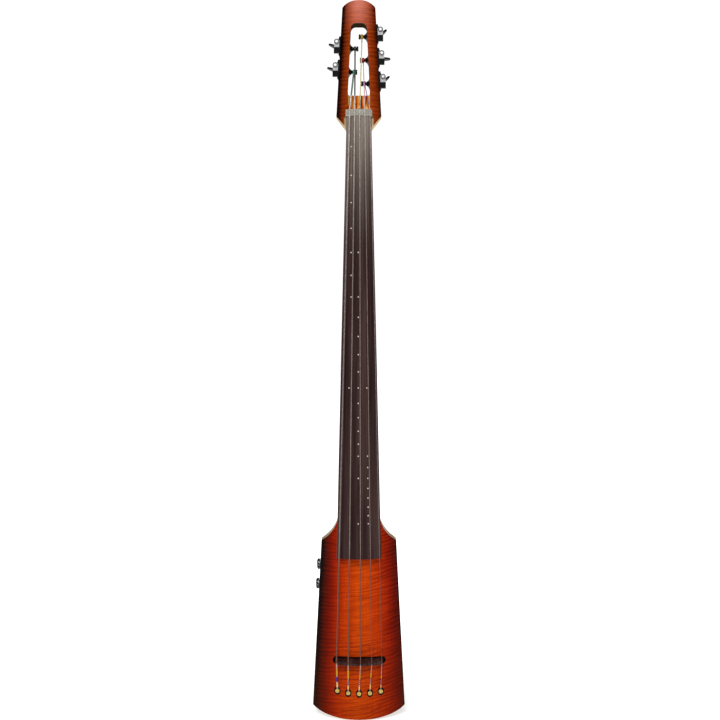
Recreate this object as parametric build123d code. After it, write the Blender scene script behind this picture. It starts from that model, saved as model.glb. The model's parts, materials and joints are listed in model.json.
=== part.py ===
from build123d import *
import math
import os

# Five-string electric upright bass: slim solid body, fretless board, slotted head.
# Millimetres. +X is the player's string 5 side, -Y is the front, +Z runs up the neck.
# Everything is laid out with z = 0 at the lowest point of the body and y = 0 at the front
# edge of the body's side, then moved so that the origin is the mouth of the stand socket.

# Body
BODY_HALF_LOW = 91.4
BODY_HALF_HIGH = 74.6
Z_APEX = -9.3
Z_CORNER_LOW = 13.4
Z_SHOULDER = 340.6
SHOULDER_MIDDLE = (56.8, 355.6)
Z_BODY_END = 383.0
SIDE_DEPTH = 36.0
CROWN_LOW = 25.0
CROWN_HIGH = 20.0
BACK_ROUND = 8.0
TOP_GLUE_Y = 4.0
ELLIPSE_REACH = 1.127
BLANK_HALF = 120.0
NECK_TENON_Y = 12.0

# Scale length and strings, numbered from the thickest; the bridge stands back from the
# scale's end because a pressed string sounds sharp
NUT_Z = 1174.6
SCALE_END_Z = 114.6
SCALE = NUT_Z - SCALE_END_Z
BRIDGE_Z = 106.3
STRING_COUNT = 5
STRING_RADII = [1.5, 1.25, 1.0, 0.8, 0.65]
NUT_X = [-17.9, -8.0, 1.9, 11.8, 21.7]
BRIDGE_X = [-43.4, -20.7, 3.3, 25.0, 44.9]
ANCHOR_PITCH = 21.45
ANCHOR_SHIFT = 0.45
ANCHOR_Z = [46.0, 42.4, 41.3, 42.1, 44.8]
CUP_OUTER = (6.3, 8.3)
CUP_INNER = (5.0, 6.8)
CUP_RISE = 1.2
STRING_ROOM = 0.4
STRING_GAP = 0.9
STRING_BENDS = [12.0, 40.0, 8.0]
NUT_FALL = 0.6
BALL_RADIUS = 4.1
BALL_LENGTH = 4.4
BALL_SINK = 1.4

# Fingerboard
BOARD_END_Z = 310.0
BOARD_HALF_NUT = 24.2
BOARD_HALF_END = 44.0
BOARD_TOP_NUT = -48.5
BOARD_TOP_END = -44.0
BOARD_GLUE_NUT = -36.5
BOARD_GLUE_END = -22.5
BOARD_RADIUS_NUT = 45.0
BOARD_RADIUS_END = 72.0
DOT_RADIUS = 1.25
DOT_DEPTH = 1.5
DOT_LEFT_X = -15.0
DOT_OCTAVE_X = -19.2
DOT_MIDDLE_X = -1.1
DOT_RIGHT_NUMBER = 2.83

# Nut and bridge
NUT_HEIGHT = 13.0
NUT_HALF = 26.0
NUT_RADIUS = 48.0
BRIDGE_LEFT = -45.6
BRIDGE_RIGHT = 47.2
BRIDGE_MIDDLE = (BRIDGE_LEFT + BRIDGE_RIGHT) / 2
BRIDGE_BASE = 9.5
BRIDGE_CREST = 4.0
BRIDGE_RADIUS = 77.6
BRIDGE_TOP_Y = -50.0
BRIDGE_FOOT_Y = -13.0
SLOT_HALF = 52.4
SLOT_WIDTH = 14.6
SLOT_RISE = 0.7
SLOT_FLOOR_Y = -11.0
ADJUSTER_X = (BRIDGE_MIDDLE - 34.0, BRIDGE_MIDDLE + 34.0)

# Head
HEAD_FRONT_Y = -46.0
Z_NECK_JOIN = 1153.0
Z_HEAD_CORNER = 1177.5
HEAD_HALF_LOW = 44.3
Z_HEAD_TOP = 1400.8
Z_HEAD_SHOULDER = 1389.4
HEAD_HALF_HIGH = 32.4
HEAD_CROWN_LOW = 17.0
HEAD_CROWN_HIGH = 12.0
HEAD_BACK_LOW = -8.0
HEAD_BACK_HIGH = -19.0
CAP_THICKNESS = 3.5
WINDOW_LOW = 1221.0
WINDOW_HIGH = 1356.0
WINDOW_HALF_LOW = 22.2
WINDOW_HALF_HIGH = 15.3
WINDOW_CORNER_HIGH = 10.0
WINDOW_CORNER_LOW = 4.0
CHEEK_INNER = 29.5

# Tuning machines: name, post height, side, key angle at rest above the horizontal
TUNERS = [
    ("left_1", 1311.4, -1, 23.0),
    ("left_2", 1265.6, -1, 19.0),
    ("right_1", 1335.1, 1, 43.0),
    ("right_2", 1289.0, 1, 0.0),
    ("right_3", 1242.8, 1, 40.0),
]
POST_Y = -25.0
MODULE = 0.8
TEETH = 18
LEAD = math.pi * MODULE
GEAR_PITCH_R = MODULE * TEETH / 2
WORM_OFFSET = 10.0
WORM_PITCH_R = WORM_OFFSET - GEAR_PITCH_R
ADDENDUM = 0.6
DEDENDUM = 0.9
WORM_ROOT_R = WORM_PITCH_R - DEDENDUM
WORM_TIP_R = WORM_PITCH_R + ADDENDUM
GEAR_WIDTH = 5.0
GEAR_MID_X = 6.6
PLATE_THICKNESS = 2.0
BARREL_RADIUS = 5.5
BARREL_FRONT_Y = -41.0
BARREL_BACK_Y = -14.0
BORE_RADIUS = 3.75
SHAFT_RADIUS = 1.85
RUNNING = 0.05
KEY_START_Y = -13.7
KEY_PADDLE_Y = -8.0
KEY_HALF = 18.5
KEY_DEPTH = 18.0
KEY_THICKNESS = 3.6
POST_RADIUS = 2.5
POST_NUT_R = 4.7
POST_NUT_LENGTH = 3.0
BOSS_RADIUS = 5.6
WIND_RADIUS = 5.25
WIND_WIDTH = 5.4
BUSH_FLARE_R = 13.0
BUSH_WAIST_R = 6.0
BUSH_TIP_R = 3.9
BUSH_TAIL_R = 4.0
BUSH_WAIST = 2.6
BUSH_LENGTH = 6.0
GUARD_BACK_Y = -34.5
GUARD_FRONT_Y = -40.2
GUARD_OUT = 12.2
GUARD_LOW = -12.0
GUARD_HIGH = -1.0
WEB_IN = 1.6
WEB_OUT = 11.6
STRING_TUNER = ["left_2", "left_1", "right_1", "right_2", "right_3"]

# Controls in the rear cavity
CAVITY_HALF = 62.0
CAVITY_LOW = 140.0
CAVITY_HIGH = 322.0
CAVITY_FLOOR_Y = 8.0
COVER_THICKNESS = 3.0
COVER_LIP = 6.0
KNOB_Z = {"volume_knob": 289.9, "tone_knob": 250.7}
KNOB_Y = 18.0
KNOB_RADIUS = 10.5
KNOB_LENGTH = 7.1
KNOB_GAP = 0.6
POT_SHAFT_R = 3.0
POT_BUSH_R = 4.5
POT_CAN_R = 8.5
POT_CAN_LENGTH = 9.0
JACK_X = 38.0
JACK_Z = 178.0
JACK_BORE_R = 3.25
JACK_LENGTH = 26.0

# Stand block
SOCKET_Y = SIDE_DEPTH + 17.0
SOCKET_Z = 335.0
SOCKET_RADIUS = 8.0
SOCKET_DEPTH = 40.0
BLOCK_HALF = 17.0
BLOCK_HEIGHT = 46.0

ORIGIN = Vector(0, SOCKET_Y, SOCKET_Z)


def box(x0, x1, y0, y1, z0, z1):
    """Block between two opposite corners."""
    block = Solid.make_box(x1 - x0, y1 - y0, z1 - z0)
    return block.translate(Vector(x0, y0, z0))


def rod(radius, start, end):
    """Round bar between two points."""
    start = Vector(*start)
    axis = Vector(*end) - start
    return Solid.make_cylinder(radius, axis.length, Plane(start, z_dir=axis.normalized()))


def cone(radius_a, radius_b, start, end):
    """Tapered round bar between two points."""
    start = Vector(*start)
    axis = Vector(*end) - start
    plane = Plane(start, z_dir=axis.normalized())
    return Solid.make_cone(radius_a, radius_b, axis.length, plane)


def cut(solid, *tools):
    """One solid less the others."""
    for tool in tools:
        solid = solid - tool
    return solid


def mix(low, high, share):
    """Value between low and high."""
    return low + (high - low) * share


def save(name, *solids):
    """Write one node, moved into the row's frame."""
    placed = []
    for solid in solids:
        for piece in solid.solids():
            placed.append(piece.translate(-ORIGIN))
    shape = placed[0] if len(placed) == 1 else Compound(children=placed)
    export_step(shape, f"parts/{name}.step")


def level_face(points_and_arcs, z):
    """Closed level face at a height."""
    return make_face(points_and_arcs).face().moved(Location((0, 0, z)))


def crown_ellipse(half, crown):
    """Half-axes of the ellipse whose arc spans the width and stands proud by the crown."""
    drop = 1 - math.sqrt(1 - ELLIPSE_REACH ** -2)
    return half * ELLIPSE_REACH, crown / drop


def crowned_section(half, crown, front_y, back_y, round_r, z):
    """Cross-section with an elliptic front, straight sides and a round-cornered back."""
    a_radius, b_radius = crown_ellipse(half, crown)
    centre_y = front_y + b_radius
    reach = math.degrees(math.asin(half / a_radius))
    side_y = front_y + crown
    front = EllipticalCenterArc((0, centre_y), a_radius, b_radius, 270 - reach, arc_size=2 * reach)
    rest = [
        Line((half, side_y), (half, back_y - round_r)),
        ThreePointArc(
            (half, back_y - round_r),
            (half - round_r * (1 - math.sqrt(0.5)), back_y - round_r * (1 - math.sqrt(0.5))),
            (half - round_r, back_y),
        ),
        Line((half - round_r, back_y), (-half + round_r, back_y)),
        ThreePointArc(
            (-half + round_r, back_y),
            (-half + round_r * (1 - math.sqrt(0.5)), back_y - round_r * (1 - math.sqrt(0.5))),
            (-half, back_y - round_r),
        ),
        Line((-half, back_y - round_r), (-half, side_y)),
    ]
    return level_face(front.edges() + ShapeList(edge.edge() for edge in rest), z)


def crowned_bar(low, high):
    """Straight loft between two crowned sections."""
    return Solid.make_loft([low.outer_wire(), high.outer_wire()], ruled=True)


def front_prism(edges, y0, y1):
    """Extrude a closed outline drawn in (x, z) from y0 back to y1."""
    face = Plane.XZ * make_face(edges)
    return extrude(face, amount=y1 - y0, dir=(0, 1, 0)).solid().translate(Vector(0, y0, 0))


def slanted_cut(apex_y, apex_z, rise, sign, reach):
    """Block beyond a plane through (apex_y, apex_z) that recedes towards the back."""
    outline = [
        (apex_y - 40, apex_z - sign * 40 * rise),
        (apex_y + 140, apex_z + sign * 140 * rise),
        (apex_y + 140, apex_z - sign * 400),
        (apex_y - 40, apex_z - sign * 400),
    ]
    face = Plane.YZ * make_face(Polyline(*outline, close=True).edges())
    return extrude(face, amount=reach, both=True).solid()


# Fingerboard surface


def board_share(z):
    """0 at the nut, 1 at the end of the board."""
    return (NUT_Z - z) / (NUT_Z - BOARD_END_Z)


def board_half(z):
    return mix(BOARD_HALF_NUT, BOARD_HALF_END, board_share(z))


def board_glue(z):
    return mix(BOARD_GLUE_NUT, BOARD_GLUE_END, board_share(z))


def arc_drop(radius, x):
    """How far a round crown falls at x from its middle."""
    return radius - math.sqrt(radius ** 2 - x ** 2)


def board_section(z):
    half = board_half(z)
    top = mix(BOARD_TOP_NUT, BOARD_TOP_END, board_share(z))
    side_y = top + arc_drop(mix(BOARD_RADIUS_NUT, BOARD_RADIUS_END, board_share(z)), half)
    glue = board_glue(z)
    edges = [
        ThreePointArc((-half, side_y), (0, top), (half, side_y)),
        Line((half, side_y), (half, glue)),
        Line((half, glue), (-half, glue)),
        Line((-half, glue), (-half, side_y)),
    ]
    return level_face(ShapeList(edge.edge() for edge in edges), z)


def full_board():
    return crowned_bar(board_section(BOARD_END_Z), board_section(NUT_Z))


def fret_z(semitone):
    """Height at which a stopped string sounds that many semitones up."""
    return SCALE_END_Z + SCALE * 2 ** (-semitone / 12)


def string_x(number, z):
    """Across place of a string at a height; a fraction lies between two strings."""
    lower = min(int(number), STRING_COUNT - 2)
    at_nut = mix(NUT_X[lower], NUT_X[lower + 1], number - lower)
    at_bridge = mix(BRIDGE_X[lower], BRIDGE_X[lower + 1], number - lower)
    return mix(at_nut, at_bridge, (NUT_Z - z) / (NUT_Z - BRIDGE_Z))


def dot_places():
    """Across place and semitone of every position dot, in three columns."""
    left = [(DOT_LEFT_X, n) for n in range(1, 8)] + [(DOT_OCTAVE_X, 12)]
    middle = [(DOT_MIDDLE_X, n) for n in [5, *range(7, 18), 19, 24]]
    right = [(string_x(DOT_RIGHT_NUMBER, fret_z(n)), n) for n in [12, *range(17, 25)]]
    return left + middle + right


def dot_posts():
    """Round posts where the position dots pass down into the board."""
    posts = []
    for x, semitone in dot_places():
        z = fret_z(semitone)
        radius = mix(BOARD_RADIUS_NUT, BOARD_RADIUS_END, board_share(z))
        top = mix(BOARD_TOP_NUT, BOARD_TOP_END, board_share(z)) + arc_drop(radius, x)
        posts.append(rod(DOT_RADIUS, (x, top - 6, z), (x, top + DOT_DEPTH, z)))
    return posts


def make_fingerboard():
    board = full_board()
    posts = dot_posts()
    dots = [board & post for post in posts]
    save("position_dots", *dots)
    save("fingerboard", board.cut(*posts))


# Strings


def string_nut_y(number):
    """Centre of a string on the nut: all strings clear the board by the same gap."""
    board = BOARD_TOP_NUT + arc_drop(BOARD_RADIUS_NUT, string_x(number, NUT_Z))
    return board - STRING_GAP - STRING_RADII[number]


def string_bridge_y(number):
    crown = arc_drop(BRIDGE_RADIUS, string_x(number, BRIDGE_Z))
    return BRIDGE_TOP_Y + crown


def tuner_side_x(z):
    """Half-width of the head at a height."""
    share = (Z_HEAD_SHOULDER - z) / (Z_HEAD_SHOULDER - Z_HEAD_CORNER)
    return mix(HEAD_HALF_HIGH, HEAD_HALF_LOW, share)


def window_half(z):
    share = (z - WINDOW_LOW) / (WINDOW_HIGH - WINDOW_LOW)
    return mix(WINDOW_HALF_LOW, WINDOW_HALF_HIGH, share)


def winding_x(z, side):
    """Middle of the winding on the post at a height."""
    return side * (window_half(z) - BUSH_LENGTH - 1.5 - WIND_WIDTH / 2)


def anchor_point(number):
    """Centre of a ball end, just under the body's front."""
    x = ANCHOR_SHIFT + (number - 2) * ANCHOR_PITCH
    z = ANCHOR_Z[number]
    return (x, body_front(x, z) + BALL_SINK, z)


def string_start(number):
    """Where a string leaves its ball end."""
    x, y, z = anchor_point(number)
    return (x, y, z + BALL_RADIUS + STRING_RADII[number] * 0.2)


def string_crest(number):
    """Corner of a string's route over the bridge."""
    return (string_x(number, BRIDGE_Z), string_bridge_y(number), BRIDGE_Z)


def string_nut(number):
    """Corner of a string's route on the nut."""
    return (string_x(number, NUT_Z), string_nut_y(number), NUT_Z + 4)


def tail_groove(number):
    """Clearance round a string between its ball end and the bridge."""
    return rod(STRING_RADII[number] + STRING_ROOM, string_start(number), string_crest(number))


def make_strings():
    tuners = {name: (z, side) for name, z, side, angle in TUNERS}
    for number in range(STRING_COUNT):
        radius = STRING_RADII[number]
        post_z, side = tuners[STRING_TUNER[number]]
        nut = string_nut(number)
        nut_back = (nut[0], nut[1] + NUT_FALL, NUT_Z + NUT_HEIGHT)
        post = (winding_x(post_z, side), POST_Y - WIND_RADIUS - radius - 0.4, post_z)
        corners = [string_start(number), string_crest(number), nut, nut_back, post]
        path = FilletPolyline(*corners, radius=STRING_BENDS)
        section = Plane(path @ 0, z_dir=path % 0) * Circle(radius)
        save(f"string_{number + 1}", sweep(section, path=path).solid())


def make_anchors():
    """Ball ends lying flat in oval cups let into the body top."""
    balls = []
    cups = []
    pockets = []
    for number in range(STRING_COUNT):
        x, y, z = anchor_point(number)
        front = y - 8
        back = y + BALL_LENGTH + 1.2
        balls.append(rod(BALL_RADIUS, (x, y, z), (x, y + BALL_LENGTH, z)))
        outer = oval_prism(x, z, CUP_OUTER, front, back)
        inner = oval_prism(x, z, CUP_INNER, front, y + BALL_LENGTH)
        cups.append((outer, inner))
        pockets.append(outer)
    return balls, cups, pockets


def oval_prism(x, z, half_sizes, y0, y1):
    """Oval prism along Y, taller than it is wide, set a little above the ball end."""
    face = Plane.XZ * Pos(x, z + CUP_RISE) * Ellipse(*half_sizes)
    return extrude(face, amount=y1 - y0, dir=(0, 1, 0)).solid().translate(Vector(0, y0, 0))


# Body


def body_share(z):
    """0 at the low corners, 1 at the shoulders."""
    return (z - Z_CORNER_LOW) / (Z_SHOULDER - Z_CORNER_LOW)


def body_half(z):
    return mix(BODY_HALF_LOW, BODY_HALF_HIGH, body_share(z))


def body_crown(z):
    return mix(CROWN_LOW, CROWN_HIGH, body_share(z))


def body_front(x, z):
    """y of the crowned front at a place."""
    a_radius, b_radius = crown_ellipse(body_half(z), body_crown(z))
    return -body_crown(z) + b_radius * (1 - math.sqrt(1 - (x / a_radius) ** 2))


def body_section(z):
    crown = body_crown(z)
    return crowned_section(body_half(z), crown, -crown, SIDE_DEPTH, BACK_ROUND, z)


def body_blank():
    """Outer shape of the whole body: straight sides, scooped shoulders, oblique bottom."""
    blank = crowned_bar(body_section(Z_APEX - 2), body_section(Z_BODY_END + 3))
    low = Z_APEX - 10
    step = Z_SHOULDER - 0.5
    neck_half = board_half(Z_BODY_END)
    middle_x, middle_z = SHOULDER_MIDDLE
    edges = [
        Line((-BLANK_HALF, low), (BLANK_HALF, low)),
        Line((BLANK_HALF, low), (BLANK_HALF, step)),
        Line((BLANK_HALF, step), (BODY_HALF_HIGH, Z_SHOULDER)),
        ThreePointArc((BODY_HALF_HIGH, Z_SHOULDER), (middle_x, middle_z), (neck_half, Z_BODY_END)),
        Line((neck_half, Z_BODY_END), (-neck_half, Z_BODY_END)),
        ThreePointArc((-neck_half, Z_BODY_END), (-middle_x, middle_z), (-BODY_HALF_HIGH, Z_SHOULDER)),
        Line((-BODY_HALF_HIGH, Z_SHOULDER), (-BLANK_HALF, step)),
        Line((-BLANK_HALF, step), (-BLANK_HALF, low)),
    ]
    prism = front_prism(ShapeList(edge.edge() for edge in edges), -60, 60)
    blank = (blank & prism).solid()
    crown = body_crown(Z_APEX)
    rise = (Z_CORNER_LOW - Z_APEX) / crown
    return (blank - slanted_cut(-crown, Z_APEX, rise, 1, 150)).solid()


def neck_pocket():
    """Room for the part of the neck that is let into the body."""
    low = BOARD_END_Z
    high = Z_BODY_END + 10
    edges = [
        Line((-board_half(low), low), (board_half(low), low)),
        Line((board_half(low), low), (board_half(high), high)),
        Line((board_half(high), high), (-board_half(high), high)),
        Line((-board_half(high), high), (-board_half(low), low)),
    ]
    return front_prism(ShapeList(edge.edge() for edge in edges), -60, NECK_TENON_Y)


def bridge_slot():
    outline = SlotOverall(SLOT_HALF * 2, SLOT_WIDTH)
    face = Plane.XZ * Pos(BRIDGE_MIDDLE, BRIDGE_Z + SLOT_RISE) * outline
    depth = SLOT_FLOOR_Y + 60
    return extrude(face, amount=depth, dir=(0, 1, 0)).solid().translate(Vector(0, -60, 0))


def make_body():
    blank = body_blank()
    balls, cups, pockets = make_anchors()
    front_half = box(-BLANK_HALF, BLANK_HALF, -60, TOP_GLUE_Y, Z_APEX - 10, Z_BODY_END + 20)
    pocket = neck_pocket()
    adjuster_holes = [
        rod(3.0, (x, SLOT_FLOOR_Y - 2, BRIDGE_Z), (x, SLOT_FLOOR_Y + 12, BRIDGE_Z))
        for x in ADJUSTER_X
    ]
    lead_hole = rod(2.5, (0, SLOT_FLOOR_Y - 2, BRIDGE_Z), (0, CAVITY_FLOOR_Y + 1, CAVITY_LOW + 12))
    grooves = [tail_groove(number) for number in range(STRING_COUNT)]
    cap = (blank & front_half).solid()
    holes = [pocket, bridge_slot(), *pockets, *adjuster_holes, lead_hole, *grooves]
    save("body_top", cut(cap, *holes).solid())
    save("ball_ends", *balls)
    save("anchor_cups", *[cut((outer & cap).solid(), inner, *grooves) for outer, inner in cups])

    core = cut((blank - front_half).solid(), pocket)
    cavity = box(-CAVITY_HALF, CAVITY_HALF, CAVITY_FLOOR_Y, 60, CAVITY_LOW, CAVITY_HIGH)
    rebate_y = SIDE_DEPTH - COVER_THICKNESS
    rebate = box(
        -CAVITY_HALF - COVER_LIP,
        CAVITY_HALF + COVER_LIP,
        rebate_y,
        60,
        CAVITY_LOW - COVER_LIP,
        CAVITY_HIGH + COVER_LIP,
    )
    core = cut(core, cavity, rebate, lead_hole)
    for z in KNOB_Z.values():
        core = core - rod(POT_BUSH_R, (-100, KNOB_Y, z), (-CAVITY_HALF + 1, KNOB_Y, z))
    for x, z in cover_screw_places():
        core = core - rod(1.4, (x, rebate_y - 12, z), (x, rebate_y + 1, z))
    for x, z in block_screw_places():
        core = core - rod(2.0, (x, SIDE_DEPTH - 20, z), (x, SIDE_DEPTH + 1, z))
    save("body_core", core.solid())


def cover_screw_places():
    """Screws through the lip of the rear cover."""
    edge_x = CAVITY_HALF + COVER_LIP / 2
    low = CAVITY_LOW + 4
    high = CAVITY_HIGH - 4
    return [(side * edge_x, z) for side in (-1, 1) for z in (low, (low + high) / 2, high)]


def block_screw_places():
    return [(side * 25.0, SOCKET_Z + z) for side in (-1, 1) for z in (12.0, 38.0)]


# Neck and head


def neck_section(z, depth, fullness):
    """D-shaped section from the glue plane back, as wide as the board."""
    half = board_half(z)
    glue = board_glue(z)
    shoulder = glue + depth * 0.25
    points = [(half, shoulder), (half * 0.72, glue + depth * fullness), (0, glue + depth)]
    edges = [
        Line((-half, glue), (half, glue)),
        Line((half, glue), (half, shoulder)),
        Spline(*points, tangents=[(0, 1), (-1, 0)]),
        Spline(*[(-x, y) for x, y in reversed(points)], tangents=[(-1, 0), (0, -1)]),
        Line((-half, shoulder), (-half, glue)),
    ]
    return level_face(ShapeList(edge.edge() for edge in edges), z)


def neck_stretch(stations):
    """Loft through (height, depth, fullness) stations."""
    wires = [neck_section(*station).outer_wire() for station in stations]
    return Solid.make_loft(wires, ruled=len(stations) == 2)


def neck_blank():
    thin = neck_stretch([(Z_NECK_JOIN - 70, 25.0, 0.8), (850.0, 28.0, 0.8)])
    upper = neck_stretch([(Z_NECK_JOIN + 2, 24.0, 0.8), (Z_NECK_JOIN - 70, 25.0, 0.8)])
    heel = neck_stretch([(850.0, 28.0, 0.8), (838.0, 31.0, 0.8), (818.0, 42.0, 0.84), (800.0, 46.0, 0.86)])
    deep = neck_stretch([(800.0, 46.0, 0.86), (Z_BODY_END, 52.0, 0.9)])
    tenon = neck_pocket() & box(-60, 60, -60, NECK_TENON_Y, BOARD_END_Z, Z_BODY_END)
    glue_side = glue_block()
    tenon = (tenon - glue_side).solid()
    return upper, thin, heel, deep, tenon


def glue_block():
    """Everything in front of the board's glue plane."""
    slope = (BOARD_GLUE_END - BOARD_GLUE_NUT) / (NUT_Z - BOARD_END_Z)
    low_z = BOARD_END_Z - 40
    high_z = NUT_Z
    outline = [
        (BOARD_GLUE_END + slope * 40, low_z),
        (BOARD_GLUE_NUT, high_z),
        (-120, high_z),
        (-120, low_z),
    ]
    face = Plane.YZ * make_face(Polyline(*outline, close=True).edges())
    return extrude(face, amount=60, both=True).solid()


def head_back(z):
    """y of the head's back, which comes forward towards the top."""
    return mix(HEAD_BACK_HIGH, HEAD_BACK_LOW, (Z_HEAD_TOP - z) / (Z_HEAD_TOP - Z_HEAD_CORNER))


def head_section(z, inset):
    """Crowned head section; inset moves only the front surface back."""
    share = (Z_HEAD_SHOULDER - z) / (Z_HEAD_SHOULDER - Z_HEAD_CORNER)
    crown = mix(HEAD_CROWN_HIGH, HEAD_CROWN_LOW, share)
    half = tuner_side_x(z)
    return crowned_section(half, crown, HEAD_FRONT_Y + inset, head_back(z), 3.0, z)


def head_outline():
    """Sides, oblique top and the taper down to the neck."""
    join = board_half(Z_NECK_JOIN) + 0.5
    points = [
        (-join, Z_NECK_JOIN),
        (join, Z_NECK_JOIN),
        (HEAD_HALF_LOW, Z_HEAD_CORNER),
        (HEAD_HALF_LOW + 10, Z_HEAD_CORNER + 0.2),
        (HEAD_HALF_LOW + 10, Z_HEAD_TOP + 20),
        (-HEAD_HALF_LOW - 10, Z_HEAD_TOP + 20),
        (-HEAD_HALF_LOW - 10, Z_HEAD_CORNER + 0.2),
        (-HEAD_HALF_LOW, Z_HEAD_CORNER),
    ]
    return front_prism(Polyline(*points, close=True).edges(), -80, 40)


def head_block(inset):
    low = head_section(Z_NECK_JOIN - 1, inset)
    high = head_section(Z_HEAD_TOP + 2, inset)
    block = (crowned_bar(low, high) & head_outline()).solid()
    rise = (Z_HEAD_TOP - Z_HEAD_SHOULDER) / HEAD_CROWN_HIGH
    return (block - slanted_cut(HEAD_FRONT_Y, Z_HEAD_TOP, rise, -1, 100)).solid()


def head_window():
    points = [
        (-WINDOW_HALF_LOW, WINDOW_LOW),
        (WINDOW_HALF_LOW, WINDOW_LOW),
        (WINDOW_HALF_HIGH, WINDOW_HIGH),
        (-WINDOW_HALF_HIGH, WINDOW_HIGH),
    ]
    opening = make_face(Polyline(*points, close=True).edges())
    opening = fillet(opening.vertices().sort_by(Axis.Y)[-2:], WINDOW_CORNER_HIGH)
    opening = fillet(opening.vertices().sort_by(Axis.Y)[:2], WINDOW_CORNER_LOW)
    return front_prism(opening.edges(), -80, 40)


def ramp_scoop():
    """Concave fall from the back of the nut into the window."""
    start_z = NUT_Z + NUT_HEIGHT
    edges = [
        Line((-70, start_z), (-38.5, start_z)),
        ThreePointArc((-38.5, start_z), (-30.0, start_z + 9), (-20.0, WINDOW_LOW + 2)),
        Line((-20.0, WINDOW_LOW + 2), (-70, WINDOW_LOW + 2)),
        Line((-70, WINDOW_LOW + 2), (-70, start_z)),
    ]
    face = Plane.YZ * make_face(ShapeList(edge.edge() for edge in edges))
    return extrude(face, amount=WINDOW_HALF_LOW, both=True).solid()


def nut_bed():
    """Room in the head for the nut end of the board and for the nut."""
    half = board_half(Z_NECK_JOIN) + 0.5
    board_room = glue_block() & box(-half, half, -80, 0, 1000, NUT_Z)
    nut_room = box(-NUT_HALF, NUT_HALF, -80, BOARD_GLUE_NUT, NUT_Z, NUT_Z + NUT_HEIGHT)
    return board_room, nut_room


def post_holes():
    holes = []
    for name, z, side, angle in TUNERS:
        outer = side * (tuner_side_x(z) + 3)
        holes.append(rod(BUSH_TAIL_R, (side * (window_half(z) - 2), POST_Y, z), (outer, POST_Y, z)))
        for screw_z in tuner_screw_heights(z):
            tip = tuner_side_x(screw_z) - 9
            holes.append(rod(1.2, (side * tip, POST_Y, screw_z), (outer, POST_Y, screw_z)))
    return holes


def tuner_screw_heights(z):
    return (z + 19.0, z - 11.0)


def make_neck_and_head():
    cavity = [head_window(), ramp_scoop(), *nut_bed(), *post_holes()]
    whole = head_block(0)
    core = head_block(CAP_THICKNESS)
    beside_board = box(-CHEEK_INNER, CHEEK_INNER, -80, 0, Z_NECK_JOIN - 10, NUT_Z)
    cap = cut((whole - core).solid(), *cavity, beside_board)
    cap = sorted(cap.solids(), key=lambda piece: piece.volume)[-1]
    core = cut(core, *cavity).solid()
    save("head_cap", cap)
    save("head_core", core)
    upper, thin, heel, deep, tenon = neck_blank()
    clip = box(-60, 60, -80, 40, Z_BODY_END - 200, Z_NECK_JOIN)
    neck = ((upper & clip).solid() + thin + heel + deep + tenon).solid()
    rods = [
        box(x - 3, x + 3, -60, board_glue(760) + 9, 430, 1135) - glue_block()
        for x in (-11, 11)
    ]
    for bar in rods:
        neck = neck - bar
    save("neck", neck.solid())
    save("neck_rods", *rods)
    return core, cap


def make_nut():
    top_z = NUT_Z + NUT_HEIGHT
    crown_y = BOARD_TOP_NUT - 1.6
    side_y = crown_y + arc_drop(NUT_RADIUS, NUT_HALF)
    edges = [
        ThreePointArc((-NUT_HALF, side_y), (0, crown_y), (NUT_HALF, side_y)),
        Line((NUT_HALF, side_y), (NUT_HALF, BOARD_GLUE_NUT)),
        Line((NUT_HALF, BOARD_GLUE_NUT), (-NUT_HALF, BOARD_GLUE_NUT)),
        Line((-NUT_HALF, BOARD_GLUE_NUT), (-NUT_HALF, side_y)),
    ]
    face = level_face(ShapeList(edge.edge() for edge in edges), NUT_Z)
    nut = extrude(face, amount=top_z - NUT_Z, dir=(0, 0, 1)).solid()
    for number in range(STRING_COUNT):
        x = string_x(number, NUT_Z)
        y = string_nut_y(number)
        radius = STRING_RADII[number] + RUNNING
        nut = nut - rod(radius, (x, y + NUT_FALL, NUT_Z - 5), (x, y + NUT_FALL, top_z + 5))
        nut = nut - box(x - radius, x + radius, -80, y + NUT_FALL, NUT_Z - 5, top_z + 5)
    save("nut", nut.solid())


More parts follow.
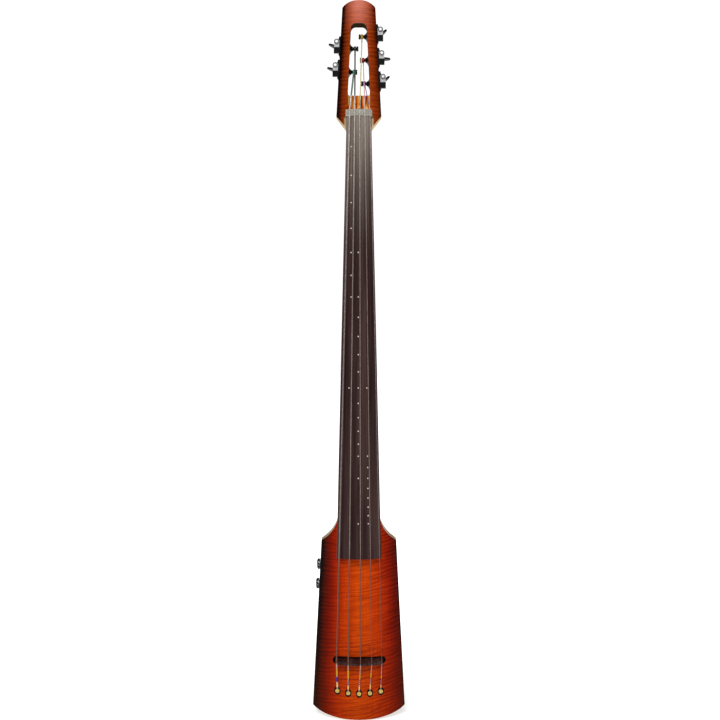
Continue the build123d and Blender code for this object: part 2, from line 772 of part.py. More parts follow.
def make_bridge():
    left_y = BRIDGE_TOP_Y + arc_drop(BRIDGE_RADIUS, BRIDGE_LEFT)
    right_y = BRIDGE_TOP_Y + arc_drop(BRIDGE_RADIUS, BRIDGE_RIGHT)
    edges = [
        ThreePointArc((BRIDGE_LEFT, left_y), (0, BRIDGE_TOP_Y), (BRIDGE_RIGHT, right_y)),
        Line((BRIDGE_RIGHT, right_y), (BRIDGE_RIGHT, BRIDGE_FOOT_Y)),
        Line((BRIDGE_RIGHT, BRIDGE_FOOT_Y), (BRIDGE_LEFT, BRIDGE_FOOT_Y)),
        Line((BRIDGE_LEFT, BRIDGE_FOOT_Y), (BRIDGE_LEFT, left_y)),
    ]
    low_z = BRIDGE_Z - BRIDGE_BASE / 2
    face = level_face(ShapeList(edge.edge() for edge in edges), low_z)
    bar = extrude(face, amount=BRIDGE_BASE, dir=(0, 0, 1)).solid()
    for sign in (-1, 1):
        outline = [
            (-26.0, BRIDGE_Z + sign * BRIDGE_BASE / 2),
            (-60.0, BRIDGE_Z + sign * BRIDGE_CREST / 4),
            (-60.0, BRIDGE_Z + sign * 12),
            (-26.0, BRIDGE_Z + sign * 12),
        ]
        wedge = Plane.YZ * make_face(Polyline(*outline, close=True).edges())
        bar = bar - extrude(wedge, amount=60, both=True).solid()
    for number in range(STRING_COUNT):
        x, y, z = string_crest(number)
        radius = STRING_RADII[number] + STRING_ROOM
        bar = bar - rod(radius, (x, y, z - 0.5), (x, y, z + 9))
        bar = bar - tail_groove(number)
        bar = bar - box(x - radius, x + radius, -70, y + 0.3, z - 9, z + 9)
    bar = bar.solid()
    posts = []
    for x in ADJUSTER_X:
        bar = bar - rod(2.0, (x, BRIDGE_FOOT_Y - 10, BRIDGE_Z), (x, BRIDGE_FOOT_Y + 1, BRIDGE_Z))
        pin = rod(2.0, (x, BRIDGE_FOOT_Y - 9, BRIDGE_Z), (x, BRIDGE_FOOT_Y, BRIDGE_Z))
        disc = rod(4.2, (x, BRIDGE_FOOT_Y, BRIDGE_Z), (x, SLOT_FLOOR_Y, BRIDGE_Z))
        screw = rod(3.0, (x, SLOT_FLOOR_Y, BRIDGE_Z), (x, SLOT_FLOOR_Y + 11.5, BRIDGE_Z))
        posts.append((pin + disc + screw).solid())
    save("bridge", bar.solid())
    save("bridge_adjusters", *posts)
    strip = box(-28, 28, BRIDGE_FOOT_Y, SLOT_FLOOR_Y, BRIDGE_Z - 3, BRIDGE_Z + 3)
    save("bridge_pickup", strip)


# Tuning machines


def gear_profile():
    """Straight-flanked teeth with a space at the top."""
    tip = GEAR_PITCH_R + ADDENDUM
    root = GEAR_PITCH_R - DEDENDUM
    pitch_angle = 2 * math.pi / TEETH
    points = []
    for tooth in range(TEETH):
        middle = math.pi / 2 + (tooth + 0.5) * pitch_angle
        for radius, half_width in ((root, 0.95), (tip, 0.28)):
            points.append((radius, middle - half_width / radius))
        for radius, half_width in ((tip, 0.28), (root, 0.95)):
            points.append((radius, middle + half_width / radius))
    return [(radius * math.cos(angle), radius * math.sin(angle)) for radius, angle in points]


def make_gear():
    """Gear centred on the origin with its axis along X."""
    plane = Plane((-GEAR_WIDTH / 2, 0, 0), x_dir=(0, 1, 0), z_dir=(1, 0, 0))
    face = plane * make_face(Polyline(*gear_profile(), close=True).edges())
    wheel = extrude(face, amount=GEAR_WIDTH, dir=(1, 0, 0)).solid()
    bore = rod(POST_RADIUS, (-GEAR_WIDTH, 0, 0), (GEAR_WIDTH, 0, 0))
    return (wheel - bore).solid()


def make_worm():
    """Single-start worm with journals, centred on the origin along its own Z."""
    turns = 5
    sink = 0.15
    path = Helix(LEAD, turns * LEAD, WORM_ROOT_R - sink, center=(0, 0, -turns * LEAD / 2))
    height = WORM_TIP_R - WORM_ROOT_R + sink
    outline = [(0, -0.62), (height, -0.2), (height, 0.2), (0, 0.62)]
    start = Plane(origin=path @ 0, x_dir=(1, 0, 0), z_dir=path % 0)
    section = start * make_face(Polyline(*outline, close=True).edges())
    thread = sweep(section, path=path, is_frenet=True).solid()
    thread = thread & rod(WORM_TIP_R + 1, (0, 0, -5.5), (0, 0, 5.5))
    core = rod(WORM_ROOT_R, (0, 0, -6), (0, 0, 6))
    return (core + thread).solid()


def worm_with_journals():
    """Worm, its front journal and head, and its rear journal and drive end, along Z."""
    front_z = BARREL_FRONT_Y - POST_Y
    back_z = BARREL_BACK_Y - POST_Y
    front = rod(SHAFT_RADIUS, (0, 0, front_z - 0.3), (0, 0, -6))
    head = rod(3.1, (0, 0, front_z - 1.6), (0, 0, front_z - 0.3))
    journal = rod(BORE_RADIUS - RUNNING, (0, 0, 6), (0, 0, back_z - 0.1))
    drive = rod(POST_RADIUS, (0, 0, back_z - 0.1), (0, 0, KEY_PADDLE_Y - POST_Y - 0.5))
    return make_worm() + front + head + journal + drive


def make_key():
    """Hub and flat oval paddle along Z, the paddle lying in the XZ plane."""
    start = KEY_START_Y - POST_Y
    paddle_start = KEY_PADDLE_Y - POST_Y
    hub = cone(4.5, 4.2, (0, 0, start), (0, 0, paddle_start + 3))
    face = Plane.XZ * Pos(0, paddle_start + KEY_DEPTH / 2) * Ellipse(KEY_HALF, KEY_DEPTH / 2)
    paddle = extrude(face, amount=KEY_THICKNESS / 2, both=True).solid()
    paddle = chamfer(paddle.edges(), 1.0)
    bore = rod(POST_RADIUS, (0, 0, start - 1), (0, 0, paddle_start - 0.5))
    return (hub + paddle - bore).solid()


def make_frame(z, side):
    """Base plate, boss, barrel housing and gear guard of one tuning machine, in place."""
    surface = side * tuner_side_x(z)

    def out(distance):
        """x of a point that far outside the head's side."""
        return surface + side * distance

    barrel_x = out(GEAR_MID_X)
    barrel_z = z + WORM_OFFSET
    low_x, high_x = sorted((out(-2.2), out(PLATE_THICKNESS)))
    tab = box(low_x, high_x, POST_Y - 5, POST_Y + 5, z - 15, z - 3)
    plate = tab + box(low_x, high_x, POST_Y - 8, POST_Y + 8.5, z - 7, z + 22.5)
    gear_in = out(GEAR_MID_X - GEAR_WIDTH / 2 - 0.1)
    boss = rod(BOSS_RADIUS, (out(0), POST_Y, z), (gear_in, POST_Y, z))
    barrel_back = (barrel_x, BARREL_BACK_Y, barrel_z)
    barrel = rod(BARREL_RADIUS, (barrel_x, BARREL_FRONT_Y, barrel_z), barrel_back)
    web_low, web_high = sorted((out(WEB_IN), out(WEB_OUT)))
    web = box(web_low, web_high, BARREL_FRONT_Y, GUARD_BACK_Y, z + GUARD_HIGH, barrel_z)
    guard_low, guard_high = sorted((out(0), out(GUARD_OUT)))
    guard = box(guard_low, guard_high, GUARD_FRONT_Y, GUARD_BACK_Y, z + GUARD_LOW, z + GUARD_HIGH)
    frame = plate + boss + barrel + web + guard
    gear_room = rod(
        GEAR_PITCH_R + ADDENDUM + 0.4,
        (gear_in, POST_Y, z),
        (out(GEAR_MID_X + GEAR_WIDTH / 2 + 0.4), POST_Y, z),
    )
    bore_start = POST_Y - 6.3
    bore = rod(BORE_RADIUS, (barrel_x, bore_start, barrel_z), (barrel_x, BARREL_BACK_Y + 1, barrel_z))
    front_start = (barrel_x, BARREL_FRONT_Y - 1, barrel_z)
    front_bore = rod(SHAFT_RADIUS + RUNNING, front_start, (barrel_x, POST_Y, barrel_z))
    post_bore = rod(POST_RADIUS + RUNNING, (out(-4), POST_Y, z), (out(9), POST_Y, z))
    frame = cut(frame, gear_room, bore, front_bore, post_bore)
    for screw_z in tuner_screw_heights(z):
        frame = frame - rod(1.2, (out(-4), POST_Y, screw_z), (out(3), POST_Y, screw_z))
    return frame


def post_x(z):
    """Distances from the centreline to the free end and the winding of a post."""
    wall = window_half(z)
    wind_out = wall - BUSH_LENGTH - 1.5
    wind_in = wind_out - WIND_WIDTH
    return wall, wind_out, wind_in, wind_in - 3.9


def make_post(z, side):
    wall, wind_out, wind_in, end = post_x(z)
    surface = tuner_side_x(z)
    gear_out = surface + GEAR_MID_X + GEAR_WIDTH / 2
    shaft = rod(POST_RADIUS, (side * end, POST_Y, z), (side * gear_out, POST_Y, z))
    collar = rod(3.5, (side * wind_out, POST_Y, z), (side * (wind_out + 1.2), POST_Y, z))
    flange = rod(4.9, (side * end, POST_Y, z), (side * wind_in, POST_Y, z))
    nut_out = gear_out + POST_NUT_LENGTH
    nut = rod(POST_NUT_R, (side * gear_out, POST_Y, z), (side * nut_out, POST_Y, z))
    post = shaft + collar + flange + nut
    low, high = sorted((side * (end - 1), side * (wind_in - 1.0)))
    slot = box(low, high, POST_Y - 6, POST_Y + 6, z - 0.9, z + 0.9)
    return (post - slot).solid()


def make_winding(z, side):
    wall, wind_out, wind_in, end = post_x(z)
    coil = rod(WIND_RADIUS, (side * wind_in, POST_Y, z), (side * wind_out, POST_Y, z))
    core = rod(POST_RADIUS, (side * (wind_in - 1), POST_Y, z), (side * (wind_out + 1), POST_Y, z))
    return (coil - core).solid()


def make_bushing(z, side, window):
    wall = window_half(z)
    tip = wall - BUSH_LENGTH
    waist = (side * (wall - BUSH_WAIST), POST_Y, z)
    flare = cone(BUSH_FLARE_R, BUSH_WAIST_R, (side * (wall + 1.0), POST_Y, z), waist)
    flare = flare & window & box(-60, 60, -80, head_back(z + BUSH_FLARE_R), z - 20, z + 20)
    neck = cone(BUSH_WAIST_R, BUSH_TIP_R, waist, (side * tip, POST_Y, z))
    tail = rod(BUSH_TAIL_R, (side * (wall - 1), POST_Y, z), (side * (tuner_side_x(z) - 3), POST_Y, z))
    shell = (flare + neck + tail).solid()
    bore = rod(POST_RADIUS + RUNNING, (side * (tip - 1), POST_Y, z), (side * 60, POST_Y, z))
    return (shell - bore).solid()


def make_tuner_screw(z, side, surface):
    tip = tuner_side_x(z) - 8.5
    head_in = surface + PLATE_THICKNESS
    shank = rod(1.2, (side * tip, POST_Y, z), (side * head_in, POST_Y, z))
    head = cone(2.8, 2.0, (side * head_in, POST_Y, z), (side * (head_in + 1.4), POST_Y, z))
    cross = box(-0.4, 0.4, -1.6, 1.6, -4, 4).translate(Vector(side * (head_in + 1.4), POST_Y, z))
    return (shank + head - cross).solid()


def make_tuners(core, cap):
    worm = worm_with_journals()
    key = make_key()
    gear = make_gear()
    window = head_window()
    bushings = []
    screws = []
    for name, z, side, angle in TUNERS:
        surface = tuner_side_x(z)
        axis_x = side * (surface + GEAR_MID_X)
        along_y = Plane((axis_x, POST_Y, z + WORM_OFFSET), x_dir=(0, 0, 1), z_dir=(0, 1, 0))
        tilt = 90 - side * angle
        frame = cut(make_frame(z, side), core, cap)
        frame = sorted(frame.solids(), key=lambda piece: piece.volume)[-1]
        save(f"tuner_frame_{name}", frame)
        save(f"worm_{name}", along_y.location * worm)
        save(f"tuner_key_{name}", along_y.location * Rot(0, 0, tilt) * key)
        save(f"tuner_gear_{name}", gear.translate(Vector(axis_x, POST_Y, z)))
        save(f"tuner_post_{name}", make_post(z, side))
        save(f"silk_winding_{name}", make_winding(z, side))
        bushings.append(make_bushing(z, side, window))
        for screw_z in tuner_screw_heights(z):
            screws.append(make_tuner_screw(screw_z, side, surface))
    save("bushings", *bushings)
    return screws


# Controls and stand block


def make_controls():
    pots = []
    for name, z in KNOB_Z.items():
        side = body_half(z)
        inner = -side - KNOB_GAP
        outer = -side - KNOB_LENGTH
        grip = rod(KNOB_RADIUS, (inner, KNOB_Y, z), (outer + 1.8, KNOB_Y, z))
        dome = cone(KNOB_RADIUS, KNOB_RADIUS - 3.0, (outer + 1.8, KNOB_Y, z), (outer, KNOB_Y, z))
        shaft = rod(POT_SHAFT_R, (-CAVITY_HALF + 1, KNOB_Y, z), (outer + 2.0, KNOB_Y, z))
        knob = (grip + dome - shaft).solid()
        save(name, knob, shaft)
        bush = rod(POT_BUSH_R, (-side + 0.3, KNOB_Y, z), (-CAVITY_HALF, KNOB_Y, z))
        can = rod(POT_CAN_R, (-CAVITY_HALF, KNOB_Y, z), (-CAVITY_HALF + POT_CAN_LENGTH, KNOB_Y, z))
        lugs = box(-CAVITY_HALF + 1, -CAVITY_HALF + 2.2, KNOB_Y - 6, KNOB_Y + 6, z - 13, z - 4)
        room = rod(POT_SHAFT_R + RUNNING, (-100, KNOB_Y, z), (-CAVITY_HALF + 1, KNOB_Y, z))
        pots.append(((bush + can + lugs).solid() - room).solid())
    save("potentiometers", *pots)

    board_y = CAVITY_FLOOR_Y + 5
    card = box(-20, 22, board_y, board_y + 1.6, 196, 262)
    for dx, z in ((-12, 206), (4, 222), (10, 244)):
        card = card + box(dx - 4, dx + 5, board_y + 1.6, board_y + 4.6, z - 4, z + 5)
    for x in (-16, 18):
        for z in (200, 258):
            card = card + rod(2.0, (x, CAVITY_FLOOR_Y, z), (x, board_y, z))
    save("circuit_board", card.solid())
    battery = box(30, 56, CAVITY_FLOOR_Y, CAVITY_FLOOR_Y + 17, 232, 280)
    snap = box(32, 54, CAVITY_FLOOR_Y + 2, CAVITY_FLOOR_Y + 15, 280, 284)
    save("battery", battery, snap)


def make_cover():
    inner_y = SIDE_DEPTH - COVER_THICKNESS
    cover = box(
        -CAVITY_HALF - COVER_LIP + 0.2,
        CAVITY_HALF + COVER_LIP - 0.2,
        inner_y,
        SIDE_DEPTH,
        CAVITY_LOW - COVER_LIP + 0.2,
        CAVITY_HIGH + COVER_LIP - 0.2,
    )
    cover = fillet(cover.edges().filter_by(Axis.Y), 0.5).solid()
    cover = cover - rod(5.0, (JACK_X, inner_y - 1, JACK_Z), (JACK_X, SIDE_DEPTH + 1, JACK_Z))
    screws = []
    for x, z in cover_screw_places():
        head = cone(1.4, 2.8, (x, SIDE_DEPTH - 1.6, z), (x, SIDE_DEPTH, z))
        shank = rod(1.4, (x, inner_y - 11, z), (x, SIDE_DEPTH - 1.6, z))
        slot = box(x - 0.4, x + 0.4, SIDE_DEPTH - 0.7, SIDE_DEPTH + 1, z - 2, z + 2)
        cover = cover - head - shank
        screws.append((head + shank - slot).solid())
    save("control_cover", cover.solid())

    tube = rod(5.0, (JACK_X, SIDE_DEPTH - JACK_LENGTH, JACK_Z), (JACK_X, SIDE_DEPTH + 2.2, JACK_Z))
    collar = rod(8.0, (JACK_X, inner_y - 2.0, JACK_Z), (JACK_X, inner_y, JACK_Z))
    nut = Plane((JACK_X, SIDE_DEPTH, JACK_Z), x_dir=(1, 0, 0), z_dir=(0, 1, 0)) * RegularPolygon(7.5, 6)
    nut = extrude(nut, amount=2.0).solid()
    bore_end = SIDE_DEPTH - JACK_LENGTH + 2
    bore = rod(JACK_BORE_R, (JACK_X, bore_end, JACK_Z), (JACK_X, SIDE_DEPTH + 5, JACK_Z))
    jack = (tube + collar + nut - bore).solid()
    save("output_jack", jack)
    return screws


def make_stand_block():
    low, high = SOCKET_Z, SOCKET_Z + BLOCK_HEIGHT
    block = box(-BLOCK_HALF, BLOCK_HALF, SIDE_DEPTH, SOCKET_Y + 15, low, high)
    block = fillet(block.edges().filter_by(Axis.Z).sort_by(Axis.Y)[-2:], 9.0).solid()
    flange = box(-34, 34, SIDE_DEPTH, SIDE_DEPTH + 4, low, high)
    flange = fillet(flange.edges().filter_by(Axis.Y), 5.0).solid()
    block = block + flange
    block = block - rod(SOCKET_RADIUS, (0, SOCKET_Y, low - 1), (0, SOCKET_Y, low + SOCKET_DEPTH))
    screw_z = low + 20.0
    block = block - rod(3.0, (SOCKET_RADIUS - 3, SOCKET_Y, screw_z), (BLOCK_HALF + 1, SOCKET_Y, screw_z))
    screws = []
    for x, z in block_screw_places():
        block = block - rod(2.0, (x, SIDE_DEPTH - 1, z), (x, SIDE_DEPTH + 5, z))
        shank = rod(2.0, (x, SIDE_DEPTH - 19, z), (x, SIDE_DEPTH + 4, z))
        head = cone(4.0, 3.0, (x, SIDE_DEPTH + 4, z), (x, SIDE_DEPTH + 6.2, z))
        slot = box(x - 0.5, x + 0.5, SIDE_DEPTH + 5.3, SIDE_DEPTH + 7, z - 3, z + 3)
        screws.append((shank + head - slot).solid())
    save("stand_block", block.solid())
    tip_x = SOCKET_RADIUS + 0.5
    stem = rod(3.0 - RUNNING, (tip_x, SOCKET_Y, screw_z), (BLOCK_HALF + 7, SOCKET_Y, screw_z))
    grip = rod(9.0, (BLOCK_HALF + 5, SOCKET_Y, screw_z), (BLOCK_HALF + 15, SOCKET_Y, screw_z))
    for index in range(6):
        turn = math.radians(60 * index)
        y = SOCKET_Y + 10.6 * math.cos(turn)
        z = screw_z + 10.6 * math.sin(turn)
        grip = grip - rod(3.2, (BLOCK_HALF + 4, y, z), (BLOCK_HALF + 16, y, z))
    save("stand_clamp", (stem + grip).solid())
    return screws


def main():
    os.makedirs("parts", exist_ok=True)
    make_body()
    make_fingerboard()
    core, cap = make_neck_and_head()
    make_nut()
    make_bridge()
    make_strings()
    screws = make_tuners(core, cap)
    make_controls()
    screws = screws + make_cover()
    screws = screws + make_stand_block()
    save("wood_screws", *screws)


main()
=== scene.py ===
import json
import math
import bpy
import bmesh
from mathutils import Matrix, Vector


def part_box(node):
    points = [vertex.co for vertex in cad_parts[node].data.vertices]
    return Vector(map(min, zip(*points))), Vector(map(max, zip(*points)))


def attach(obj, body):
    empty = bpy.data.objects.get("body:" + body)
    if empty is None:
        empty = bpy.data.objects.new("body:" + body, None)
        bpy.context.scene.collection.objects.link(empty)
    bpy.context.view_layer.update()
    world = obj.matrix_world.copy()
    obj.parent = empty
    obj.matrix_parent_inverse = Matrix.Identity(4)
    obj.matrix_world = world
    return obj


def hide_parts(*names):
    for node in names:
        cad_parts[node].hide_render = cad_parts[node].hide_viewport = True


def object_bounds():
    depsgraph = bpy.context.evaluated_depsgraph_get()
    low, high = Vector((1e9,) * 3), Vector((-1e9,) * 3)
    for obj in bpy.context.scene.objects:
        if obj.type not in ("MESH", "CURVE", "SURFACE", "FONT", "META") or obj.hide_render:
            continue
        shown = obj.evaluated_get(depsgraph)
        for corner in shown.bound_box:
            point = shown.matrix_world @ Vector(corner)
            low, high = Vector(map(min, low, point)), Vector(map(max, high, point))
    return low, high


# Looks of the five-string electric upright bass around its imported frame.
# Metres. -Y is the front, +Z runs up the neck, +X is the side of the thinnest string.

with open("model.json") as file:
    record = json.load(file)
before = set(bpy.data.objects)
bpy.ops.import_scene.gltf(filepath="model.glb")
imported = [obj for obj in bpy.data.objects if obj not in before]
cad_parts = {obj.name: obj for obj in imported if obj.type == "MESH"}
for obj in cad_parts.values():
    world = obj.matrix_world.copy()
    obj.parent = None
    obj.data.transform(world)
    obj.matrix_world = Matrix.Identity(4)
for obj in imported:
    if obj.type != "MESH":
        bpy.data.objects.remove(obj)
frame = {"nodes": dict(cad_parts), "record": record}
cad_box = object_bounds()

MM = 0.001
TUNERS = ["left_1", "left_2", "right_1", "right_2", "right_3"]


# Places, all from the frame


def middle(name):
    """Centre of a node's box."""
    low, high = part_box(name)
    return (Vector(low) + Vector(high)) / 2


def joint(name):
    """Declared joint by name."""
    return next(entry for entry in frame["record"]["behaviour"]["joints"] if entry["name"] == name)


BODY_LOW, BODY_HIGH = (Vector(corner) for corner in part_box("body_top"))
HEAD_LOW, HEAD_HIGH = (Vector(corner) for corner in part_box("head_cap"))
BOARD_LOW = Vector(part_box("fingerboard")[0])
NUT_LOW, NUT_HIGH = (Vector(corner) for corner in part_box("nut"))
# The body's lower corners over its lowest point, and its shoulders' drop and half-width
CORNER_RISE = 22.7 * MM
SHOULDER_DROP = 42.4 * MM
SHOULDER_HALF = 74.6 * MM
# The head's lower corners over its lowest point, and its upper corners' drop and half-width
HEAD_CORNER_RISE = 24.5 * MM
HEAD_TOP_DROP = 11.4 * MM
HEAD_TOP_HALF = 32.4 * MM
# The string window's walls lie within WALL_HALF of the middle, below the head's top by WALL_DROP
WALL_HALF = 23.5 * MM
WALL_DROP = 20 * MM
# The bridge's slot: half-width, and reach above and below the bridge's middle
SLOT_HALF = 54.5 * MM
SLOT_REACH = 12 * MM
FLAME_PITCH = 7.6 * MM
WINDING_PITCH = 0.7 * MM


def rgb(red, green, blue):
    """Linear colour of a 0 to 255 display colour."""
    return tuple((part / 255) ** 2.2 for part in (red, green, blue))


# Shader building


class Shader:
    """A node material with one Principled shader and short helpers for its nodes."""

    def __init__(self, name, **settings):
        self.material = bpy.data.materials.new(name)
        self.material.use_nodes = True
        self.tree = self.material.node_tree
        self.surface = next(node for node in self.tree.nodes if node.type == "BSDF_PRINCIPLED")
        self.places = self.node("ShaderNodeTexCoord")
        for socket, value in settings.items():
            self.set(socket.replace("_", " "), value)

    def node(self, kind):
        return self.tree.nodes.new(kind)

    def feed(self, socket, value):
        """Link a socket to another, or set its value."""
        if isinstance(value, bpy.types.NodeSocket):
            self.tree.links.new(value, socket)
        else:
            socket.default_value = value

    def set(self, socket, value):
        if isinstance(value, tuple) and len(value) == 3:
            value = (*value, 1.0)
        self.feed(self.surface.inputs[socket], value)

    def axes(self):
        """Object x, y and z."""
        split = self.node("ShaderNodeSeparateXYZ")
        self.feed(split.inputs[0], self.places.outputs["Object"])
        return split.outputs[0], split.outputs[1], split.outputs[2]

    def facing(self):
        """Parts of the surface normal along x, y and z."""
        split = self.node("ShaderNodeSeparateXYZ")
        self.feed(split.inputs[0], self.places.outputs["Normal"])
        return split.outputs[0], split.outputs[1], split.outputs[2]

    def math(self, operation, first, second=0.0, third=0.0):
        node = self.node("ShaderNodeMath")
        node.operation = operation
        for socket, value in zip(node.inputs, (first, second, third)):
            self.feed(socket, value)
        return node.outputs[0]

    def ramp(self, value, *stops):
        """Colour ramp of (place, colour) stops."""
        node = self.node("ShaderNodeValToRGB")
        elements = node.color_ramp.elements
        while len(elements) < len(stops):
            elements.new(0.5)
        for element, (place, colour) in zip(elements, stops):
            element.position = place
            element.color = (*colour, 1.0)
        self.feed(node.inputs[0], value)
        return node.outputs[0]

    def span(self, value, low, high, to_low=0.0, to_high=1.0):
        """Value remapped from one range to another, held at its ends."""
        node = self.node("ShaderNodeMapRange")
        for socket, entry in zip(node.inputs, (value, low, high, to_low, to_high)):
            self.feed(socket, entry)
        return node.outputs[0]

    def mix(self, share, first, second, blend="MIX"):
        node = self.node("ShaderNodeMix")
        node.data_type = "RGBA"
        node.blend_type = blend
        self.feed(node.inputs[0], share)
        for socket, value in ((node.inputs[6], first), (node.inputs[7], second)):
            self.feed(socket, (*value, 1.0) if isinstance(value, tuple) else value)
        return node.outputs[2]

    def stretch(self, x_scale, y_scale, z_scale, point=None):
        """Object place, scaled along each axis."""
        x, y, z = point or self.axes()
        join = self.node("ShaderNodeCombineXYZ")
        for socket, value, scale in zip(join.inputs, (x, y, z), (x_scale, y_scale, z_scale)):
            self.feed(socket, self.math("MULTIPLY", value, scale))
        return join.outputs[0]

    def noise(self, vector, scale=1.0, detail=3.0, roughness=0.55):
        node = self.node("ShaderNodeTexNoise")
        self.feed(node.inputs["Vector"], vector)
        node.inputs["Scale"].default_value = scale
        node.inputs["Detail"].default_value = detail
        node.inputs["Roughness"].default_value = roughness
        return node.outputs[0]

    def bump(self, height, strength, distance=0.001):
        node = self.node("ShaderNodeBump")
        node.inputs["Strength"].default_value = strength
        node.inputs["Distance"].default_value = distance
        self.feed(node.inputs["Height"], height)
        self.feed(self.surface.inputs["Normal"], node.outputs[0])


def maple_colour(shader, light=1.0):
    """Pale straight-grained maple with a faint figure; returns colour and grain height."""
    grain = shader.noise(shader.stretch(420, 420, 9), detail=4)
    figure = shader.noise(shader.stretch(16, 16, 120), detail=2)
    tone = shader.math("MULTIPLY_ADD", figure, 0.35, shader.math("MULTIPLY", grain, 0.65))
    # light scales the tone, so the same maple comes in lighter and darker copies as painted light.
    colour = shader.ramp(
        tone,
        (0.30, (0.21 * light, 0.140 * light, 0.066 * light)),
        (0.48, (0.29 * light, 0.210 * light, 0.115 * light)),
        (0.62, (0.35 * light, 0.270 * light, 0.165 * light)),
    )
    return colour, grain


def burst_wood(name, taper, burst, lean, edge_shade, bottom_shade, pink_highlight):
    """Gloss figured maple: a burst across the width, cross stripes, and bare maple on cut faces.

    taper is (low z, low half-width, high z, high half-width) of the crowned front, and the last two
    arguments set the painted shade at the bottom and the painted pink highlight in the top's middle."""
    shader = Shader(
        name, Coat_Weight=0.04, Coat_Roughness=0.08, Coat_IOR=1.5, Specular_IOR_Level=0.02
    )
    x, y, z = shader.axes()
    low_z, low_half, high_z, high_half = taper
    half = shader.span(z, low_z, high_z, low_half, high_half)
    across = shader.math("DIVIDE", shader.math("ABSOLUTE", x), half)
    rise = shader.math("SQRT", shader.math("MULTIPLY_ADD", x, x, 0.0009))
    bend = shader.math("MULTIPLY", shader.math("ADD", x, rise), lean)
    level = shader.math("SUBTRACT", z, bend)
    warp = shader.noise(shader.stretch(11, 6, 24, (x, y, level)), detail=3)
    waved = shader.math("MULTIPLY_ADD", warp, 0.022, level)
    ripple = shader.math("SINE", shader.math("MULTIPLY", waved, 2 * math.pi / FLAME_PITCH))
    ripple = shader.math("MULTIPLY_ADD", ripple, 0.5, 0.5)
    line = shader.noise(shader.stretch(12, 2, 150, (x, y, level)), detail=2, roughness=0.5)
    fine = shader.noise(shader.stretch(26, 6, 420, (x, y, level)), detail=3, roughness=0.6)
    fibre = shader.noise(shader.stretch(900, 60, 14), detail=3, roughness=0.6)
    broad = shader.noise(shader.stretch(13, 2, 16, (x, y, level)), detail=2)
    presence = shader.span(broad, 0.34, 0.60, 0.30, 1.0)
    thread = shader.math("MULTIPLY", shader.span(ripple, 0.56, 1.0, 0.0, 1.0), presence)
    spread = shader.math("ABSOLUTE", shader.math("SUBTRACT", line, 0.49))
    hair = shader.math("MULTIPLY", shader.span(spread, 0.010, 0.060, 1.0, 0.0), 0.55)
    thread = shader.math("MAXIMUM", thread, hair)
    place = shader.math("MULTIPLY_ADD", shader.math("SUBTRACT", broad, 0.5), 0.12, across)
    place = shader.math("MULTIPLY_ADD", shader.math("SUBTRACT", ripple, 0.5), 0.05, place)
    offset = shader.math("DIVIDE", x, half)
    place = shader.math("SUBTRACT", place, shader.math("MULTIPLY", offset, 0.075))
    thread = shader.math("MULTIPLY", thread, shader.span(offset, -0.9, 0.2, 0.35, 1.0))
    colour = shader.ramp(place, *burst)
    shade = shader.ramp(thread, (0.0, (1.0, 1.0, 1.0)), (1.0, (0.60, 0.44, 0.50)))
    colour = shader.mix(1.0, colour, shade, "MULTIPLY")
    glow = shader.ramp(
        fine,
        (0.34, (0.74, 0.66, 0.64)),
        (0.52, (1.0, 1.0, 1.0)),
        (0.68, (1.12, 1.2, 1.2)),
    )
    colour = shader.mix(1.0, colour, glow, "MULTIPLY")
    pore = shader.ramp(fibre, (0.36, (0.86, 0.82, 0.80)), (0.55, (1.0, 1.0, 1.0)))
    colour = shader.mix(1.0, colour, pore, "MULTIPLY")
    # Painted shade: the wood turns darker red towards the bottom, where the light falls off.
    bottom_shade_share = shader.span(z, low_z + 170 * MM, low_z - 15 * MM)
    bottom_shade_share = shader.math("MULTIPLY", bottom_shade_share, bottom_shade)
    colour = shader.mix(bottom_shade_share, colour, (0.06, 0.010, 0.001))
    # Painted highlight: a pink tone in the middle of the top stands for a soft light reflected
    # there.
    highlight_share = shader.span(z, high_z - 52 * MM, high_z + 6 * MM)
    highlight_share = shader.math("MULTIPLY", highlight_share, shader.span(across, 0.85, 0.15))
    highlight_share = shader.math("MULTIPLY", highlight_share, pink_highlight)
    colour = shader.mix(highlight_share, colour, rgb(214, 138, 120))
    # Painted shade: a near-black line along the outer edges stands for the rounded edge in shadow.
    edge_shade_share = shader.span(across, 1.0 - edge_shade, 1.0 - edge_shade * 0.2)
    colour = shader.mix(edge_shade_share, colour, (0.0035, 0.0015, 0.001))
    bare, grain = maple_colour(shader)
    # Painted shade: the cut faces inside the string window are darkened to stand for the shade in
    # that recess.
    window_high = HEAD_HIGH.z - WALL_DROP
    window_middle = (NUT_HIGH.z + window_high) / 2
    window_shade = shader.math("COMPARE", z, window_middle, (window_high - NUT_HIGH.z) / 2)
    near_middle = shader.math("LESS_THAN", shader.math("ABSOLUTE", x), WALL_HALF)
    window_shade = shader.math("MULTIPLY", window_shade, near_middle)
    bare = shader.mix(window_shade, bare, rgb(34, 20, 8))
    toward_y = shader.facing()[1]
    # Painted shade: the cut faces in the bridge's slot are near black, standing for the shadow in
    # the slot.
    cut_face = shader.span(toward_y, -0.32, -0.22)
    slot_low, slot_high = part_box("bridge")
    beside = shader.math("ABSOLUTE", shader.math("SUBTRACT", z, (slot_low[2] + slot_high[2]) / 2))
    in_slot = shader.math("LESS_THAN", beside, SLOT_REACH)
    within = shader.math("LESS_THAN", shader.math("ABSOLUTE", x), SLOT_HALF)
    in_slot = shader.math("MULTIPLY", in_slot, within)
    bare = shader.mix(in_slot, bare, (0.020, 0.005, 0.003))
    colour = shader.mix(cut_face, colour, bare)
